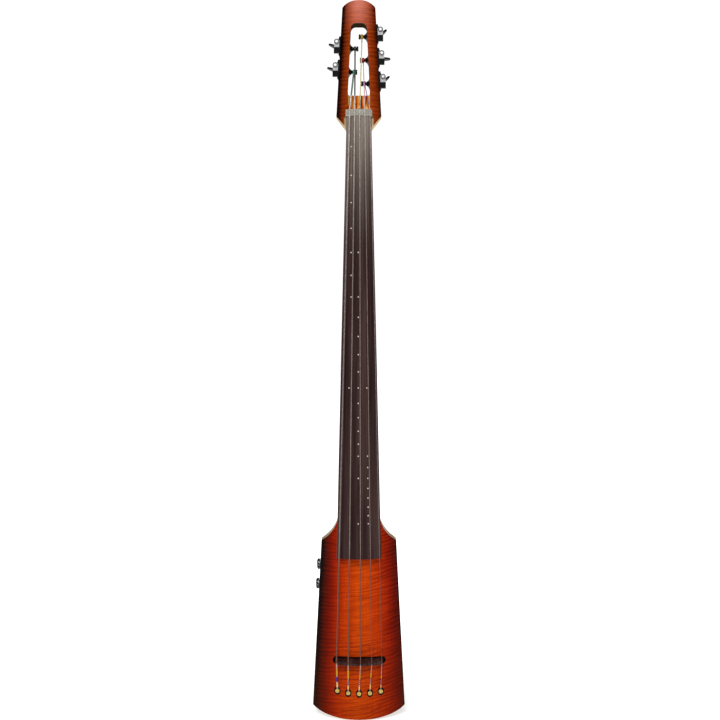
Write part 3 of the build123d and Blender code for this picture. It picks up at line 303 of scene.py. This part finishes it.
    # Painted shadow on the slot's floor.
    below = shader.span(y, slot_high[1] + 0.3 * MM, slot_high[1] + 1.2 * MM)
    slot_floor_shade = shader.math("MULTIPLY", in_slot, below)
    shader.set("Base Color", shader.mix(slot_floor_shade, colour, (0.006, 0.003, 0.002)))
    shader.set("Roughness", shader.span(fine, 0.3, 0.7, 0.30, 0.42))
    shader.bump(shader.math("ADD", grain, thread), 0.02, 0.0003)
    return shader.material


def make_maple():
    shader = Shader("maple_satin", Specular_IOR_Level=0.015)
    colour, grain = maple_colour(shader)
    shader.set("Base Color", colour)
    shader.set("Roughness", shader.span(grain, 0.3, 0.7, 0.34, 0.5))
    shader.bump(grain, 0.12, 0.0003)
    return shader.material


def make_head_core():
    """Maple head wood with amber gloss in the ramp and painted shade on the window's walls."""
    shader = Shader("maple_head", Specular_IOR_Level=0.0)
    # Painted light: the head's core takes a lighter copy of the same maple.
    colour, grain = maple_colour(shader, 1.7)
    streak = shader.noise(shader.stretch(260, 40, 5), detail=3, roughness=0.6)
    amber = shader.ramp(
        streak,
        (0.38, rgb(132, 42, 6)),
        (0.46, rgb(214, 92, 16)),
        (0.52, rgb(240, 136, 48)),
        (0.60, rgb(250, 196, 124)),
    )
    x, y, z = shader.axes()
    toward_y = shader.facing()[1]
    ramp_low = shader.span(z, NUT_HIGH.z - 2 * MM, NUT_HIGH.z - 0.5 * MM)
    forward = shader.span(toward_y, -0.12, -0.22)
    inside = shader.math("MULTIPLY", ramp_low, forward)
    colour = shader.mix(inside, colour, amber)
    # Painted shade: the window's walls are darkened to stand for the shade in that recess.
    walls = shader.span(shader.math("ABSOLUTE", x), WALL_HALF, WALL_HALF - 1 * MM)
    wall_shade_share = shader.math("MULTIPLY", shader.math("MULTIPLY", walls, ramp_low), 0.96)
    not_back = shader.span(toward_y, 0.5, 0.3)
    wall_shade_share = shader.math("MULTIPLY", wall_shade_share, shader.math("SUBTRACT", not_back, inside))
    colour = shader.mix(wall_shade_share, colour, rgb(36, 27, 12))
    shader.set("Base Color", colour)
    shader.set("Roughness", shader.span(grain, 0.3, 0.7, 0.3, 0.45))
    shader.bump(grain, 0.08, 0.0003)
    return shader.material


def make_ebony():
    shader = Shader("ebony_satin", Coat_Weight=0.03, Coat_Roughness=0.25, Specular_IOR_Level=0.07)
    streak = shader.noise(shader.stretch(700, 260, 7), detail=4, roughness=0.6)
    broad = shader.noise(shader.stretch(60, 30, 2.2), detail=2)
    tone = shader.math("MULTIPLY_ADD", broad, 0.5, shader.math("MULTIPLY", streak, 0.5))
    dark = shader.ramp(
        tone,
        (0.36, rgb(34, 22, 22)),
        (0.50, rgb(52, 36, 35)),
        (0.66, rgb(78, 60, 57)),
    )
    # Painted reflection: the board turns grey towards the nut, standing for a light reflected in it.
    reflected_grey = shader.ramp(
        tone,
        (0.36, rgb(96, 86, 82)),
        (0.50, rgb(130, 118, 110)),
        (0.66, rgb(168, 156, 146)),
    )
    height = shader.axes()[2]
    reflection_share = shader.span(height, NUT_LOW.z - 340 * MM, NUT_LOW.z + 4 * MM)
    reflection_share = shader.math("MULTIPLY", shader.math("POWER", reflection_share, 2.2), 0.85)
    shader.set("Base Color", shader.mix(reflection_share, dark, reflected_grey))
    shader.set("Roughness", shader.span(streak, 0.3, 0.7, 0.30, 0.5))
    pores = shader.noise(shader.stretch(1800, 1800, 55), detail=2)
    shader.bump(pores, 0.15, 0.0002)
    return shader.material


def speckled(name, dark, light, roughness, scale, bump=0.08, **settings):
    """General fine-grained finish that varies between two tones."""
    shader = Shader(name, **settings)
    tone = shader.noise(shader.places.outputs["Object"], scale=scale, detail=4)
    shader.set("Base Color", shader.ramp(tone, (0.35, dark), (0.65, light)))
    shader.set("Roughness", shader.span(tone, 0.3, 0.7, roughness * 0.75, roughness * 1.3))
    shader.bump(tone, bump, 0.0003)
    return shader.material


def turned(name, dark, light, roughness, axis, pitch, **settings):
    """Metal with fine turning or winding rings along one axis."""
    shader = Shader(name, **settings)
    place = shader.axes()[axis]
    ring = shader.math("SINE", shader.math("MULTIPLY", place, 2 * math.pi / pitch))
    ring = shader.math("MULTIPLY_ADD", ring, 0.5, 0.5)
    smear = shader.noise(shader.places.outputs["Object"], scale=260, detail=3)
    tone = shader.math("MULTIPLY_ADD", smear, 0.6, shader.math("MULTIPLY", ring, 0.4))
    shader.set("Base Color", shader.ramp(tone, (0.25, dark), (0.75, light)))
    shader.set("Roughness", shader.span(smear, 0.3, 0.7, roughness * 0.7, roughness * 1.3))
    shader.bump(ring, 0.25, 0.0001)
    return shader.material


BARREL_R = 5.7 * MM
WEB_HALF = 5.1 * MM
WEB_DROP = 5.5 * MM
WEB_REACH = 5.48 * MM
WEB_DEPTH = 6.4 * MM


def make_machine():
    """Nickel barrel and web over a black base plate and guard, told apart by their places."""
    shader = Shader("machine_nickel", Specular_IOR_Level=0.04)
    x, y, z = shader.axes()
    smear = shader.noise(shader.stretch(900, 60, 900), detail=3)
    ahead = shader.math("LESS_THAN", y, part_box("tuner_frame_left_1")[0][1] + WEB_DEPTH)
    inside = None
    for name in TUNERS:
        axis = Vector(joint("key_turn_" + name)["pos_m"])
        from_x = shader.math("SUBTRACT", x, axis.x)
        from_z = shader.math("SUBTRACT", z, axis.z)
        spread = shader.math("MULTIPLY_ADD", from_x, from_x, shader.math("MULTIPLY", from_z, from_z))
        near = shader.math("LESS_THAN", spread, BARREL_R**2)
        beside = shader.math("LESS_THAN", shader.math("ABSOLUTE", from_x), WEB_HALF)
        web = shader.math("COMPARE", from_z, -WEB_DROP, WEB_REACH)
        web = shader.math("MULTIPLY", shader.math("MULTIPLY", web, beside), ahead)
        near = shader.math("MAXIMUM", near, web)
        inside = near if inside is None else shader.math("MAXIMUM", inside, near)
    nickel = shader.ramp(smear, (0.3, (0.26, 0.26, 0.27)), (0.7, (0.42, 0.42, 0.43)))
    black = shader.ramp(smear, (0.3, (0.003, 0.003, 0.003)), (0.7, (0.008, 0.008, 0.009)))
    shader.set("Base Color", shader.mix(inside, black, nickel))
    shader.set("Metallic", shader.math("MULTIPLY", inside, 0.30))
    shader.set("Roughness", shader.span(smear, 0.3, 0.7, 0.30, 0.42))
    shader.bump(smear, 0.06, 0.0001)
    return shader.material


def make_string_metal():
    """Flat-wound wire with painted reflections: dull over the board, redder over the body and
    pinkish on the tail from the body's reflected colour, and lighter near the nut as a painted
    highlight.
    """
    shader = Shader("string_winding", Metallic=0.6, Specular_IOR_Level=0.3)
    z = shader.axes()[2]
    ring = shader.math("SINE", shader.math("MULTIPLY", z, 2 * math.pi / WINDING_PITCH))
    ring = shader.math("MULTIPLY_ADD", ring, 0.5, 0.5)
    smear = shader.noise(shader.places.outputs["Object"], scale=260, detail=3)
    tone = shader.math("MULTIPLY_ADD", smear, 0.6, shader.math("MULTIPLY", ring, 0.4))
    board = shader.ramp(tone, (0.25, rgb(84, 72, 68)), (0.75, rgb(150, 136, 128)))
    # Painted reflection: the wire takes the body's red over the body and a pink tint on the tail.
    low = shader.ramp(tone, (0.25, rgb(72, 42, 34)), (0.75, rgb(134, 92, 76)))
    tail = shader.ramp(tone, (0.25, rgb(140, 98, 88)), (0.75, rgb(214, 176, 162)))
    nut_highlight = shader.ramp(tone, (0.25, rgb(130, 120, 112)), (0.75, rgb(226, 216, 204)))
    colour = shader.mix(shader.span(z, BOARD_LOW.z + 30 * MM, BOARD_LOW.z - 20 * MM), board, low)
    bridge_z = middle("bridge").z
    colour = shader.mix(shader.span(z, bridge_z + 1 * MM, bridge_z - 3 * MM), colour, tail)
    # Painted highlight: the wire turns lighter towards the nut.
    colour = shader.mix(shader.span(z, NUT_LOW.z - 250 * MM, NUT_LOW.z), colour, nut_highlight)
    shader.set("Base Color", colour)
    shader.set("Roughness", shader.span(smear, 0.3, 0.7, 0.28, 0.45))
    shader.bump(ring, 0.25, 0.0001)
    return shader.material


def silk(name, dark, light):
    """Wound silk thread, dyed."""
    shader = Shader(
        name, Roughness=0.8, Sheen_Weight=0.06, Sheen_Roughness=0.4, Specular_IOR_Level=0.15
    )
    fibre = shader.noise(shader.places.outputs["Object"], scale=1600, detail=3)
    shader.set("Base Color", shader.ramp(fibre, (0.3, dark), (0.7, light)))
    shader.bump(fibre, 0.3, 0.0001)
    return shader.material


BODY_BURST = [
    (0.00, rgb(206, 74, 9)),
    (0.30, rgb(196, 64, 7)),
    (0.50, rgb(176, 50, 6)),
    (0.68, rgb(140, 32, 5)),
    (0.80, rgb(106, 23, 4)),
    (0.90, rgb(80, 20, 5)),
    (0.96, rgb(54, 16, 6)),
    (1.00, rgb(26, 10, 5)),
]
HEAD_BURST = [
    (0.00, rgb(180, 80, 52)),
    (0.40, rgb(166, 70, 34)),
    (0.60, rgb(142, 56, 17)),
    (0.80, rgb(112, 42, 12)),
    (0.91, rgb(62, 23, 9)),
    (1.00, rgb(24, 10, 6)),
]


def make_materials():
    """Every finish, by the record's slot or by its own name."""
    body_taper = (
        BODY_LOW.z + CORNER_RISE, BODY_HIGH.x, BODY_HIGH.z - SHOULDER_DROP, SHOULDER_HALF
    )
    head_taper = (
        HEAD_LOW.z + HEAD_CORNER_RISE, HEAD_HIGH.x, HEAD_HIGH.z - HEAD_TOP_DROP, HEAD_TOP_HALF
    )
    black = ((0.003, 0.003, 0.003), (0.009, 0.009, 0.010))
    dull = {"Specular_IOR_Level": 0.05}
    looks = {
        "flame_top": burst_wood("flame_body", body_taper, BODY_BURST, 0.13, 0.03, 0.32, 0.0),
        "flame_head": burst_wood("flame_head", head_taper, HEAD_BURST, 0.02, 0.06, 0.0, 0.50),
        "maple": make_maple(),
        "ebony": make_ebony(),
        "pearl_dot": speckled(
            "dot_pearl", (0.60, 0.50, 0.44), (0.80, 0.70, 0.64),
            0.3, 900, 0.02,
        ),
        "nut_black": speckled(
            "nut_ebony", (0.17, 0.165, 0.14), (0.42, 0.405, 0.34),
            0.42, 700, **dull,
        ),
        "carbon": speckled("carbon_rod", *black, 0.4, 500),
        "steel": turned(
            "steel_turned", (0.35, 0.35, 0.36), (0.66, 0.66, 0.67),
            0.3, 1, 0.0004, Metallic=1.0,
        ),
        "copper_foil": speckled(
            "copper_foil", (0.45, 0.18, 0.08), (0.8, 0.4, 0.2),
            0.35, 300, Metallic=1.0,
        ),
        "string_metal": make_string_metal(),
        "brass": speckled(
            "brass_aged", (0.42, 0.29, 0.06), (0.78, 0.58, 0.20),
            0.28, 500, Metallic=1.0,
        ),
        "black_metal": speckled("metal_black", *black, 0.40, 420, 0.05, **dull),
        "black_plastic": speckled("cover_black", *black, 0.5, 1200, 0.3, **dull),
        "pot_metal": speckled(
            "pot_zinc", (0.35, 0.35, 0.36), (0.6, 0.6, 0.62),
            0.35, 300, Metallic=1.0,
        ),
        "circuit_green": speckled(
            "circuit_mask", (0.005, 0.08, 0.03), (0.02, 0.16, 0.07),
            0.3, 400,
        ),
        "battery_case": speckled(
            "battery_case", (0.02, 0.02, 0.03), (0.08, 0.08, 0.10),
            0.3, 300,
        ),
        "aluminium": turned(
            "block_anodised", (0.012, 0.012, 0.013), (0.04, 0.04, 0.043),
            0.35, 2, 0.0006, Metallic=0.6,
        ),
        "knob_metal": turned(
            "knob_satin", (0.07, 0.07, 0.07), (0.20, 0.20, 0.21),
            0.35, 0, 0.0005, Metallic=0.9,
        ),
        "machine_metal": make_machine(),
        "key_black": speckled("key_black", *black, 0.30, 260, 0.03, Coat_Weight=0.04, **dull),
        "silk_black": silk("silk_black", (0.006, 0.006, 0.007), (0.05, 0.05, 0.055)),
        "silk_green": silk("silk_green", rgb(18, 96, 62), rgb(60, 168, 128)),
        "silk_yellow": silk("silk_yellow", rgb(166, 112, 12), rgb(216, 170, 50)),
        "silk_red": silk("silk_red", rgb(120, 0, 8), rgb(196, 10, 20)),
        "silk_purple": silk("silk_purple", rgb(82, 20, 142), rgb(134, 58, 204)),
        "silk_blue": silk("silk_blue", (0.006, 0.010, 0.12), (0.03, 0.05, 0.40)),
        "silk_pale": silk("silk_pale", rgb(206, 150, 84), rgb(240, 206, 140)),
        "silk_rose": silk("silk_rose", rgb(176, 110, 118), rgb(232, 180, 184)),
        "silk_dark": silk("silk_dark", rgb(18, 2, 12), rgb(48, 8, 30)),
        "silk_moss": silk("silk_moss", rgb(74, 92, 74), rgb(128, 144, 124)),
        "silk_grey": silk("silk_grey", rgb(44, 42, 42), rgb(86, 82, 80)),
        "silk_lilac": silk("silk_lilac", rgb(90, 70, 124), rgb(146, 126, 180)),
        "silk_straw": silk("silk_straw", rgb(170, 162, 112), rgb(214, 206, 162)),
        "ring_grey": turned(
            "ring_grey", (0.12, 0.12, 0.12), (0.24, 0.24, 0.24),
            0.5, 1, 0.0002, Specular_IOR_Level=0.1,
        ),
    }
    return looks


def dress_frame(looks):
    """Give each CAD node its finish by the record's slot."""
    head_core = make_head_core()
    for entry in frame["record"]["subparts"]:
        finish = looks[entry["material_slot"]]
        if entry["node"] == "head_core":
            finish = head_core
        for slot in frame["nodes"][entry["node"]].material_slots:
            slot.material = finish


# Detail pieces


def add_piece(name, points, faces, body, finishes, shares=None):
    """Smooth-shaded mesh piece on a body; shares gives each face's finish by number."""
    data = bpy.data.meshes.new(name)
    data.from_pydata(points, [], faces)
    for finish in finishes:
        data.materials.append(finish)
    for index, polygon in enumerate(data.polygons):
        polygon.use_smooth = True
        polygon.material_index = shares[index] if shares else 0
    mesh = bmesh.new()
    mesh.from_mesh(data)
    bmesh.ops.recalc_face_normals(mesh, faces=mesh.faces)
    mesh.to_mesh(data)
    mesh.free()
    piece = bpy.data.objects.new(name, data)
    bpy.context.scene.collection.objects.link(piece)
    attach(piece, body)
    return piece


def closed_faces(rows, sides):
    """Faces over rows of points, each row a ring, with both ends closed."""
    faces = []
    for row in range(rows - 1):
        low = row * sides
        high = low + sides
        for step in range(sides):
            after = (step + 1) % sides
            faces.append((low + step, low + after, high + after, high + step))
    faces.append(tuple(range(sides)))
    faces.append(tuple((rows - 1) * sides + step for step in range(sides)))
    return faces


def tube(path, radii, sides):
    """Points and faces of a closed tube along a path."""
    points = []
    count = len(path)
    side = None
    for index, place in enumerate(path):
        ahead = path[min(index + 1, count - 1)] - path[max(index - 1, 0)]
        ahead.normalize()
        side = ahead.orthogonal() if side is None else side - ahead * side.dot(ahead)
        side.normalize()
        other = ahead.cross(side)
        for step in range(sides):
            turn = 2 * math.pi * step / sides
            spoke = side * math.cos(turn) + other * math.sin(turn)
            points.append(place + spoke * radii[index])
    return points, closed_faces(count, sides)


def lathe(origin, axis, profile, sides, wave=None):
    """Points and faces of a round form; profile is (distance along, radius).

    wave gives a share of the radius at each turn."""
    axis = Vector(axis)
    side = axis.orthogonal().normalized()
    other = axis.cross(side)
    points = []
    for along, radius in profile:
        for step in range(sides):
            turn = 2 * math.pi * step / sides
            reach = radius * (wave(turn) if wave else 1.0)
            spoke = side * math.cos(turn) + other * math.sin(turn)
            points.append(origin + axis * along + spoke * reach)
    return points, closed_faces(len(profile), sides)


def string_centre(name, height):
    """Middle of a string where it passes a height."""
    data = frame["nodes"][name].data
    crossings = []
    for edge in data.edges:
        first, second = (data.vertices[index].co for index in edge.vertices)
        if (first.z - height) * (second.z - height) < 0:
            crossings.append(first.lerp(second, (height - first.z) / (second.z - first.z)))
    xs = [point.x for point in crossings]
    ys = [point.y for point in crossings]
    return Vector(((min(xs) + max(xs)) / 2, (min(ys) + max(ys)) / 2, height))


THREAD_PITCH = 0.22 * MM
THREAD_RIDGE = 0.05 * MM


def silk_sleeve(name, string, low_z, high_z, radius, finishes, spiral=0):
    """Thread wound on a string between two heights, ridged; spiral alternates two finishes."""
    start = string_centre(string, low_z)
    end = string_centre(string, high_z)
    length = (end - start).length
    rows = max(8, int(length / THREAD_PITCH))
    sides = 12
    path = []
    radii = []
    for row in range(rows + 1):
        share = row / rows
        path.append(start.lerp(end, share))
        ridge = THREAD_RIDGE * math.sin(row * math.pi * 0.5 + 0.4)
        taper = min(1.0, 8 * share + 0.55, 8 * (1 - share) + 0.55)
        radii.append((radius + ridge) * taper)
    points, faces = tube(path, radii, sides)
    shares = None
    if spiral:
        shares = []
        for row in range(rows):
            for step in range(sides):
                turn = row * spiral / rows + step / sides
                shares.append(0 if turn % 1.0 < 0.5 else 1)
        shares += [0, 0]
    return add_piece(name, points, faces, "instrument", finishes, shares)


# Silk on each string's tail, from the bridge (0) to the ball end (1)
TAIL_SILK = {
    "string_1": (0.09, 0.47, 0.72, 0.96),
    "string_2": (0.12, 0.50, 0.78, 0.96),
    "string_3": (0.28, 0.49, 0.78, 0.96),
    "string_4": (0.24, 0.46, 0.73, 0.95),
    "string_5": (0.42, 0.57, 0.83, 0.96),
}
# Machine, silk and the string's own radius in millimetres, at the head
HEAD_SILK = {
    "string_1": ("left_2", "silk_green", 1.5),
    "string_2": ("left_1", "silk_black", 1.25),
    "string_3": ("right_1", "silk_yellow", 1.0),
    "string_4": ("right_2", "silk_red", 0.8),
    "string_5": ("right_3", "silk_purple", 0.65),
}


# Silk on each string's head end, from the nut (0): where it starts, and the coil-coloured
# share of it next to the post
HEAD_ENDS = {
    "string_1": (0.30, 0.12),
    "string_2": (0.16, 0.12),
    "string_3": (0.06, 0.04),
    "string_4": (0.10, 0.04),
    "string_5": (0.14, 0.08),
}
HEAD_SHADES = {
    "string_1": "silk_moss",
    "string_2": "silk_grey",
    "string_3": "silk_straw",
    "string_4": "silk_rose",
    "string_5": "silk_lilac",
}


def make_tail_silk(looks):
    """Three lengths of silk on each string between the bridge and its ball end."""
    crest_z = middle("bridge").z - 6 * MM
    spirals = (looks["silk_dark"], looks["silk_rose"])
    for string, (first, second, third, last) in TAIL_SILK.items():
        radius = HEAD_SILK[string][2] * MM * 0.9 + 0.32 * MM
        ball_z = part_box(string)[0].z + 1.5 * MM
        heights = [crest_z + (ball_z - crest_z) * share for share in (first, second, third, last)]
        gap = 0.6 * MM
        tail = string.replace("string", "tail_silk")
        plain = string == "string_1"
        middle_looks = (looks["silk_blue"],) if plain else spirals
        lengths = (
            ("_high", heights[1] + gap, heights[0], "silk_yellow", (looks["silk_yellow"],), 0),
            ("_mid", heights[2] + gap, heights[1], "silk_purple", middle_looks, 0 if plain else 3),
            ("_low", heights[3], heights[2], "silk_yellow", (looks["silk_pale"],), 0),
        )
        for end, low_z, high_z, slot, finishes, spiral in lengths:
            silk_sleeve(tail + end, string, low_z, high_z, radius, finishes, spiral)


def make_head_silk(looks):
    """Silk on the stretch of each string between the nut and its post."""
    for string, (machine, slot, radius) in HEAD_SILK.items():
        low = NUT_HIGH.z + 4 * MM
        high = joint("post_turn_" + machine)["pos_m"][2] - 0.3 * MM
        below, above = HEAD_ENDS[string]
        bottom = low + (high - low) * below
        near_post = high - (high - bottom) * above
        overlap = (near_post - bottom) * 0.07
        shade = [looks[HEAD_SHADES[string]]]
        number = string[-1]
        reach = (radius + 0.22) * MM
        silk_sleeve("head_silk_" + number, string, bottom, near_post, reach, shade)
        outer = reach + 0.08 * MM
        near_low = near_post - overlap
        silk_sleeve("post_silk_" + number, string, near_low, high, outer, [looks[slot]])


def make_coils(looks):
    """The last turns of each silk-covered string on its post, in place of the plain winding."""
    for string, (machine, slot, radius) in HEAD_SILK.items():
        low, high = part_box("silk_winding_" + machine)
        centre = (low + high) / 2
        thread = (radius + 0.15) * MM
        reach = (high.z - low.z) / 2 - thread
        width = high.x - low.x
        turns = max(1.6, (width - 2 * thread) / (2 * thread))
        steps = int(turns * 28)
        side = 1 if machine.startswith("right") else -1
        path = []
        for step in range(steps + 1):
            share = step / steps
            turn = 2 * math.pi * turns * share - math.pi / 2
            x = centre.x + side * (width / 2 - thread - (width - 2 * thread) * share)
            y = centre.y + reach * math.sin(turn)
            path.append(Vector((x, y, centre.z + reach * math.cos(turn))))
        points, faces = tube(path, [thread] * len(path), 10)
        half = width / 2 - 0.4 * MM
        core_points, core_faces = lathe(centre, (1, 0, 0), [(-half, reach), (half, reach)], 28)
        shift = len(points)
        points += core_points
        faces += [tuple(index + shift for index in face) for face in core_faces]
        piece = add_piece("coil_" + machine, points, faces, "post_" + machine, [looks[slot]])
        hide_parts("silk_winding_" + machine)


def make_barrel_rings(looks):
    """Bearing ring on the front of each barrel, its lip just clear of the worm's round head."""
    section = [
        (0.3, 4.9),
        (-1.8, 4.9),
        (-2.1, 4.6),
        (-2.1, 2.8),
        (-1.95, 2.5),
        (-1.72, 2.5),
        (-1.72, 3.3),
        (0.3, 3.3),
    ]
    profile = [(along * MM, radius * MM) for along, radius in section]
    sides = 40
    last = (len(profile) - 1) * sides
    for machine in TUNERS:
        place = Vector(joint("key_turn_" + machine)["pos_m"])
        front = Vector((place.x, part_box("tuner_frame_" + machine)[0].y, place.z))
        points, faces = lathe(front, (0, 1, 0), profile, sides)
        faces = faces[:-2]
        for step in range(sides):
            after = (step + 1) % sides
            faces.append((step, after, last + after, last + step))
        name = "barrel_ring_" + machine
        add_piece(name, points, faces, "instrument", [looks["ring_grey"]])


def make_knob_grips(looks):
    """Black lobed rubber grip round each knob."""
    for name, body in (("volume", "volume_control"), ("tone", "tone_control")):
        low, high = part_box(name + "_knob")
        axis_y = (low.y + high.y) / 2
        axis_z = (low.z + high.z) / 2
        radius = (high.z - low.z) / 2
        outer = low.x
        profile = [(1.5, 0.90), (1.7, 1.0), (2.3, 1.035), (4.2, 1.035), (4.8, 1.0), (5.0, 0.90)]
        profile = [(along * MM, share * radius) for along, share in profile]

        def wave(turn):
            return 1.0 - 0.085 * (0.5 - 0.5 * math.cos(9 * turn)) ** 1.5

        points, faces = lathe(Vector((outer, axis_y, axis_z)), (1, 0, 0), profile, 144, wave)
        add_piece(name + "_grip", points, faces, body, [looks["black_plastic"]])


# Stage, light and camera


FLOOR_HALF = 40.0


def make_stage():
    """Pale floor, lit from within far behind the object so that it runs out to white."""
    floor_z = cad_box[0][2] - 0.5 * MM
    data = bpy.data.meshes.new("floor")
    mesh = bmesh.new()
    bmesh.ops.create_grid(mesh, x_segments=12, y_segments=12, size=FLOOR_HALF)
    bmesh.ops.translate(mesh, verts=mesh.verts, vec=(0, 0, floor_z))
    mesh.to_mesh(data)
    mesh.free()
    floor = bpy.data.objects.new("floor", data)
    bpy.context.scene.collection.objects.link(floor)
    shader = Shader("floor_pale", Specular_IOR_Level=0.05)
    y = shader.axes()[1]
    grit = shader.noise(shader.places.outputs["Object"], scale=3, detail=4)
    pale = shader.ramp(grit, (0.3, (0.86, 0.86, 0.86)), (0.7, (0.90, 0.90, 0.90)))
    shader.set("Base Color", pale)
    shader.set("Roughness", shader.span(grit, 0.3, 0.7, 0.75, 0.85))
    shader.set("Emission Color", (1.0, 1.0, 1.0))
    shader.set("Emission Strength", shader.span(y, -0.1, 0.8, 0.30, 1.0))
    data.materials.append(shader.material)


def area_light(name, place, target, size, power):
    data = bpy.data.lights.new(name, "AREA")
    data.shape = "RECTANGLE"
    data.size, data.size_y = size
    data.energy = power
    light = bpy.data.objects.new(name, data)
    light.location = place
    light.rotation_euler = (Vector(target) - Vector(place)).to_track_quat("-Z", "Y").to_euler()
    bpy.context.scene.collection.objects.link(light)


WORLD_REFLECTED = 0.17
WORLD_SEEN = 1.08


def make_light():
    """White surroundings to the eye, dim in reflections, with a soft sun and tall soft boxes."""
    world = bpy.data.worlds.new("studio")
    world.use_nodes = True
    tree = world.node_tree
    seen = tree.nodes.new("ShaderNodeLightPath")
    strength = tree.nodes.new("ShaderNodeMapRange")
    strength.inputs[3].default_value = WORLD_REFLECTED
    strength.inputs[4].default_value = WORLD_SEEN
    tree.links.new(seen.outputs["Is Camera Ray"], strength.inputs[0])
    tree.nodes["Background"].inputs[0].default_value = (1, 1, 1, 1)
    tree.links.new(strength.outputs[0], tree.nodes["Background"].inputs[1])
    bpy.context.scene.world = world
    sun = bpy.data.lights.new("sun", "SUN")
    sun.energy = 1.6
    sun.angle = math.radians(16)
    lamp = bpy.data.objects.new("sun", sun)
    lamp.rotation_euler = Vector((0.12, 1.0, -0.80)).to_track_quat("-Z", "Y").to_euler()
    bpy.context.scene.collection.objects.link(lamp)
    centre = (0, 0, 0.36)
    area_light("left", (-2.2, -1.3, 0.5), centre, (0.5, 1.5), 12)
    area_light("right", (2.3, -0.9, 0.5), centre, (0.4, 1.5), 8)
    area_light("front_top", (0.0, -2.9, 2.1), (0, 0, 0.9), (1.8, 1.4), 16)
    area_light("back_left", (-1.8, 2.4, 1.4), centre, (1.2, 1.6), 30)
    area_light("back_right", (2.0, 2.2, 1.2), centre, (1.2, 1.6), 30)


# Metres from the strings' plane, the camera's share of the height, its side shift, and half of
# what the picture takes in at that distance
CAMERA_DISTANCE = 2.0
CAMERA_SHARE = 0.50245
CAMERA_SIDE = 2.25 * MM
PICTURE_HALF = 0.70056


def make_camera():
    low, high = cad_box
    front_y = BOARD_LOW.y + 0.5 * MM
    data = bpy.data.cameras.new("camera")
    data.sensor_fit = "VERTICAL"
    data.angle = 2 * math.atan(PICTURE_HALF / CAMERA_DISTANCE)
    camera = bpy.data.objects.new("camera", data)
    camera_z = low[2] + CAMERA_SHARE * (high[2] - low[2])
    camera.location = (CAMERA_SIDE, front_y - CAMERA_DISTANCE, camera_z)
    camera.rotation_euler = (math.pi / 2, 0, 0)
    bpy.context.scene.collection.objects.link(camera)
    bpy.context.scene.camera = camera


looks = make_materials()
dress_frame(looks)
make_tail_silk(looks)
make_head_silk(looks)
make_coils(looks)
make_barrel_rings(looks)
make_knob_grips(looks)
bpy.context.scene.view_settings.view_transform = "Standard"
make_stage()
make_light()
make_camera()
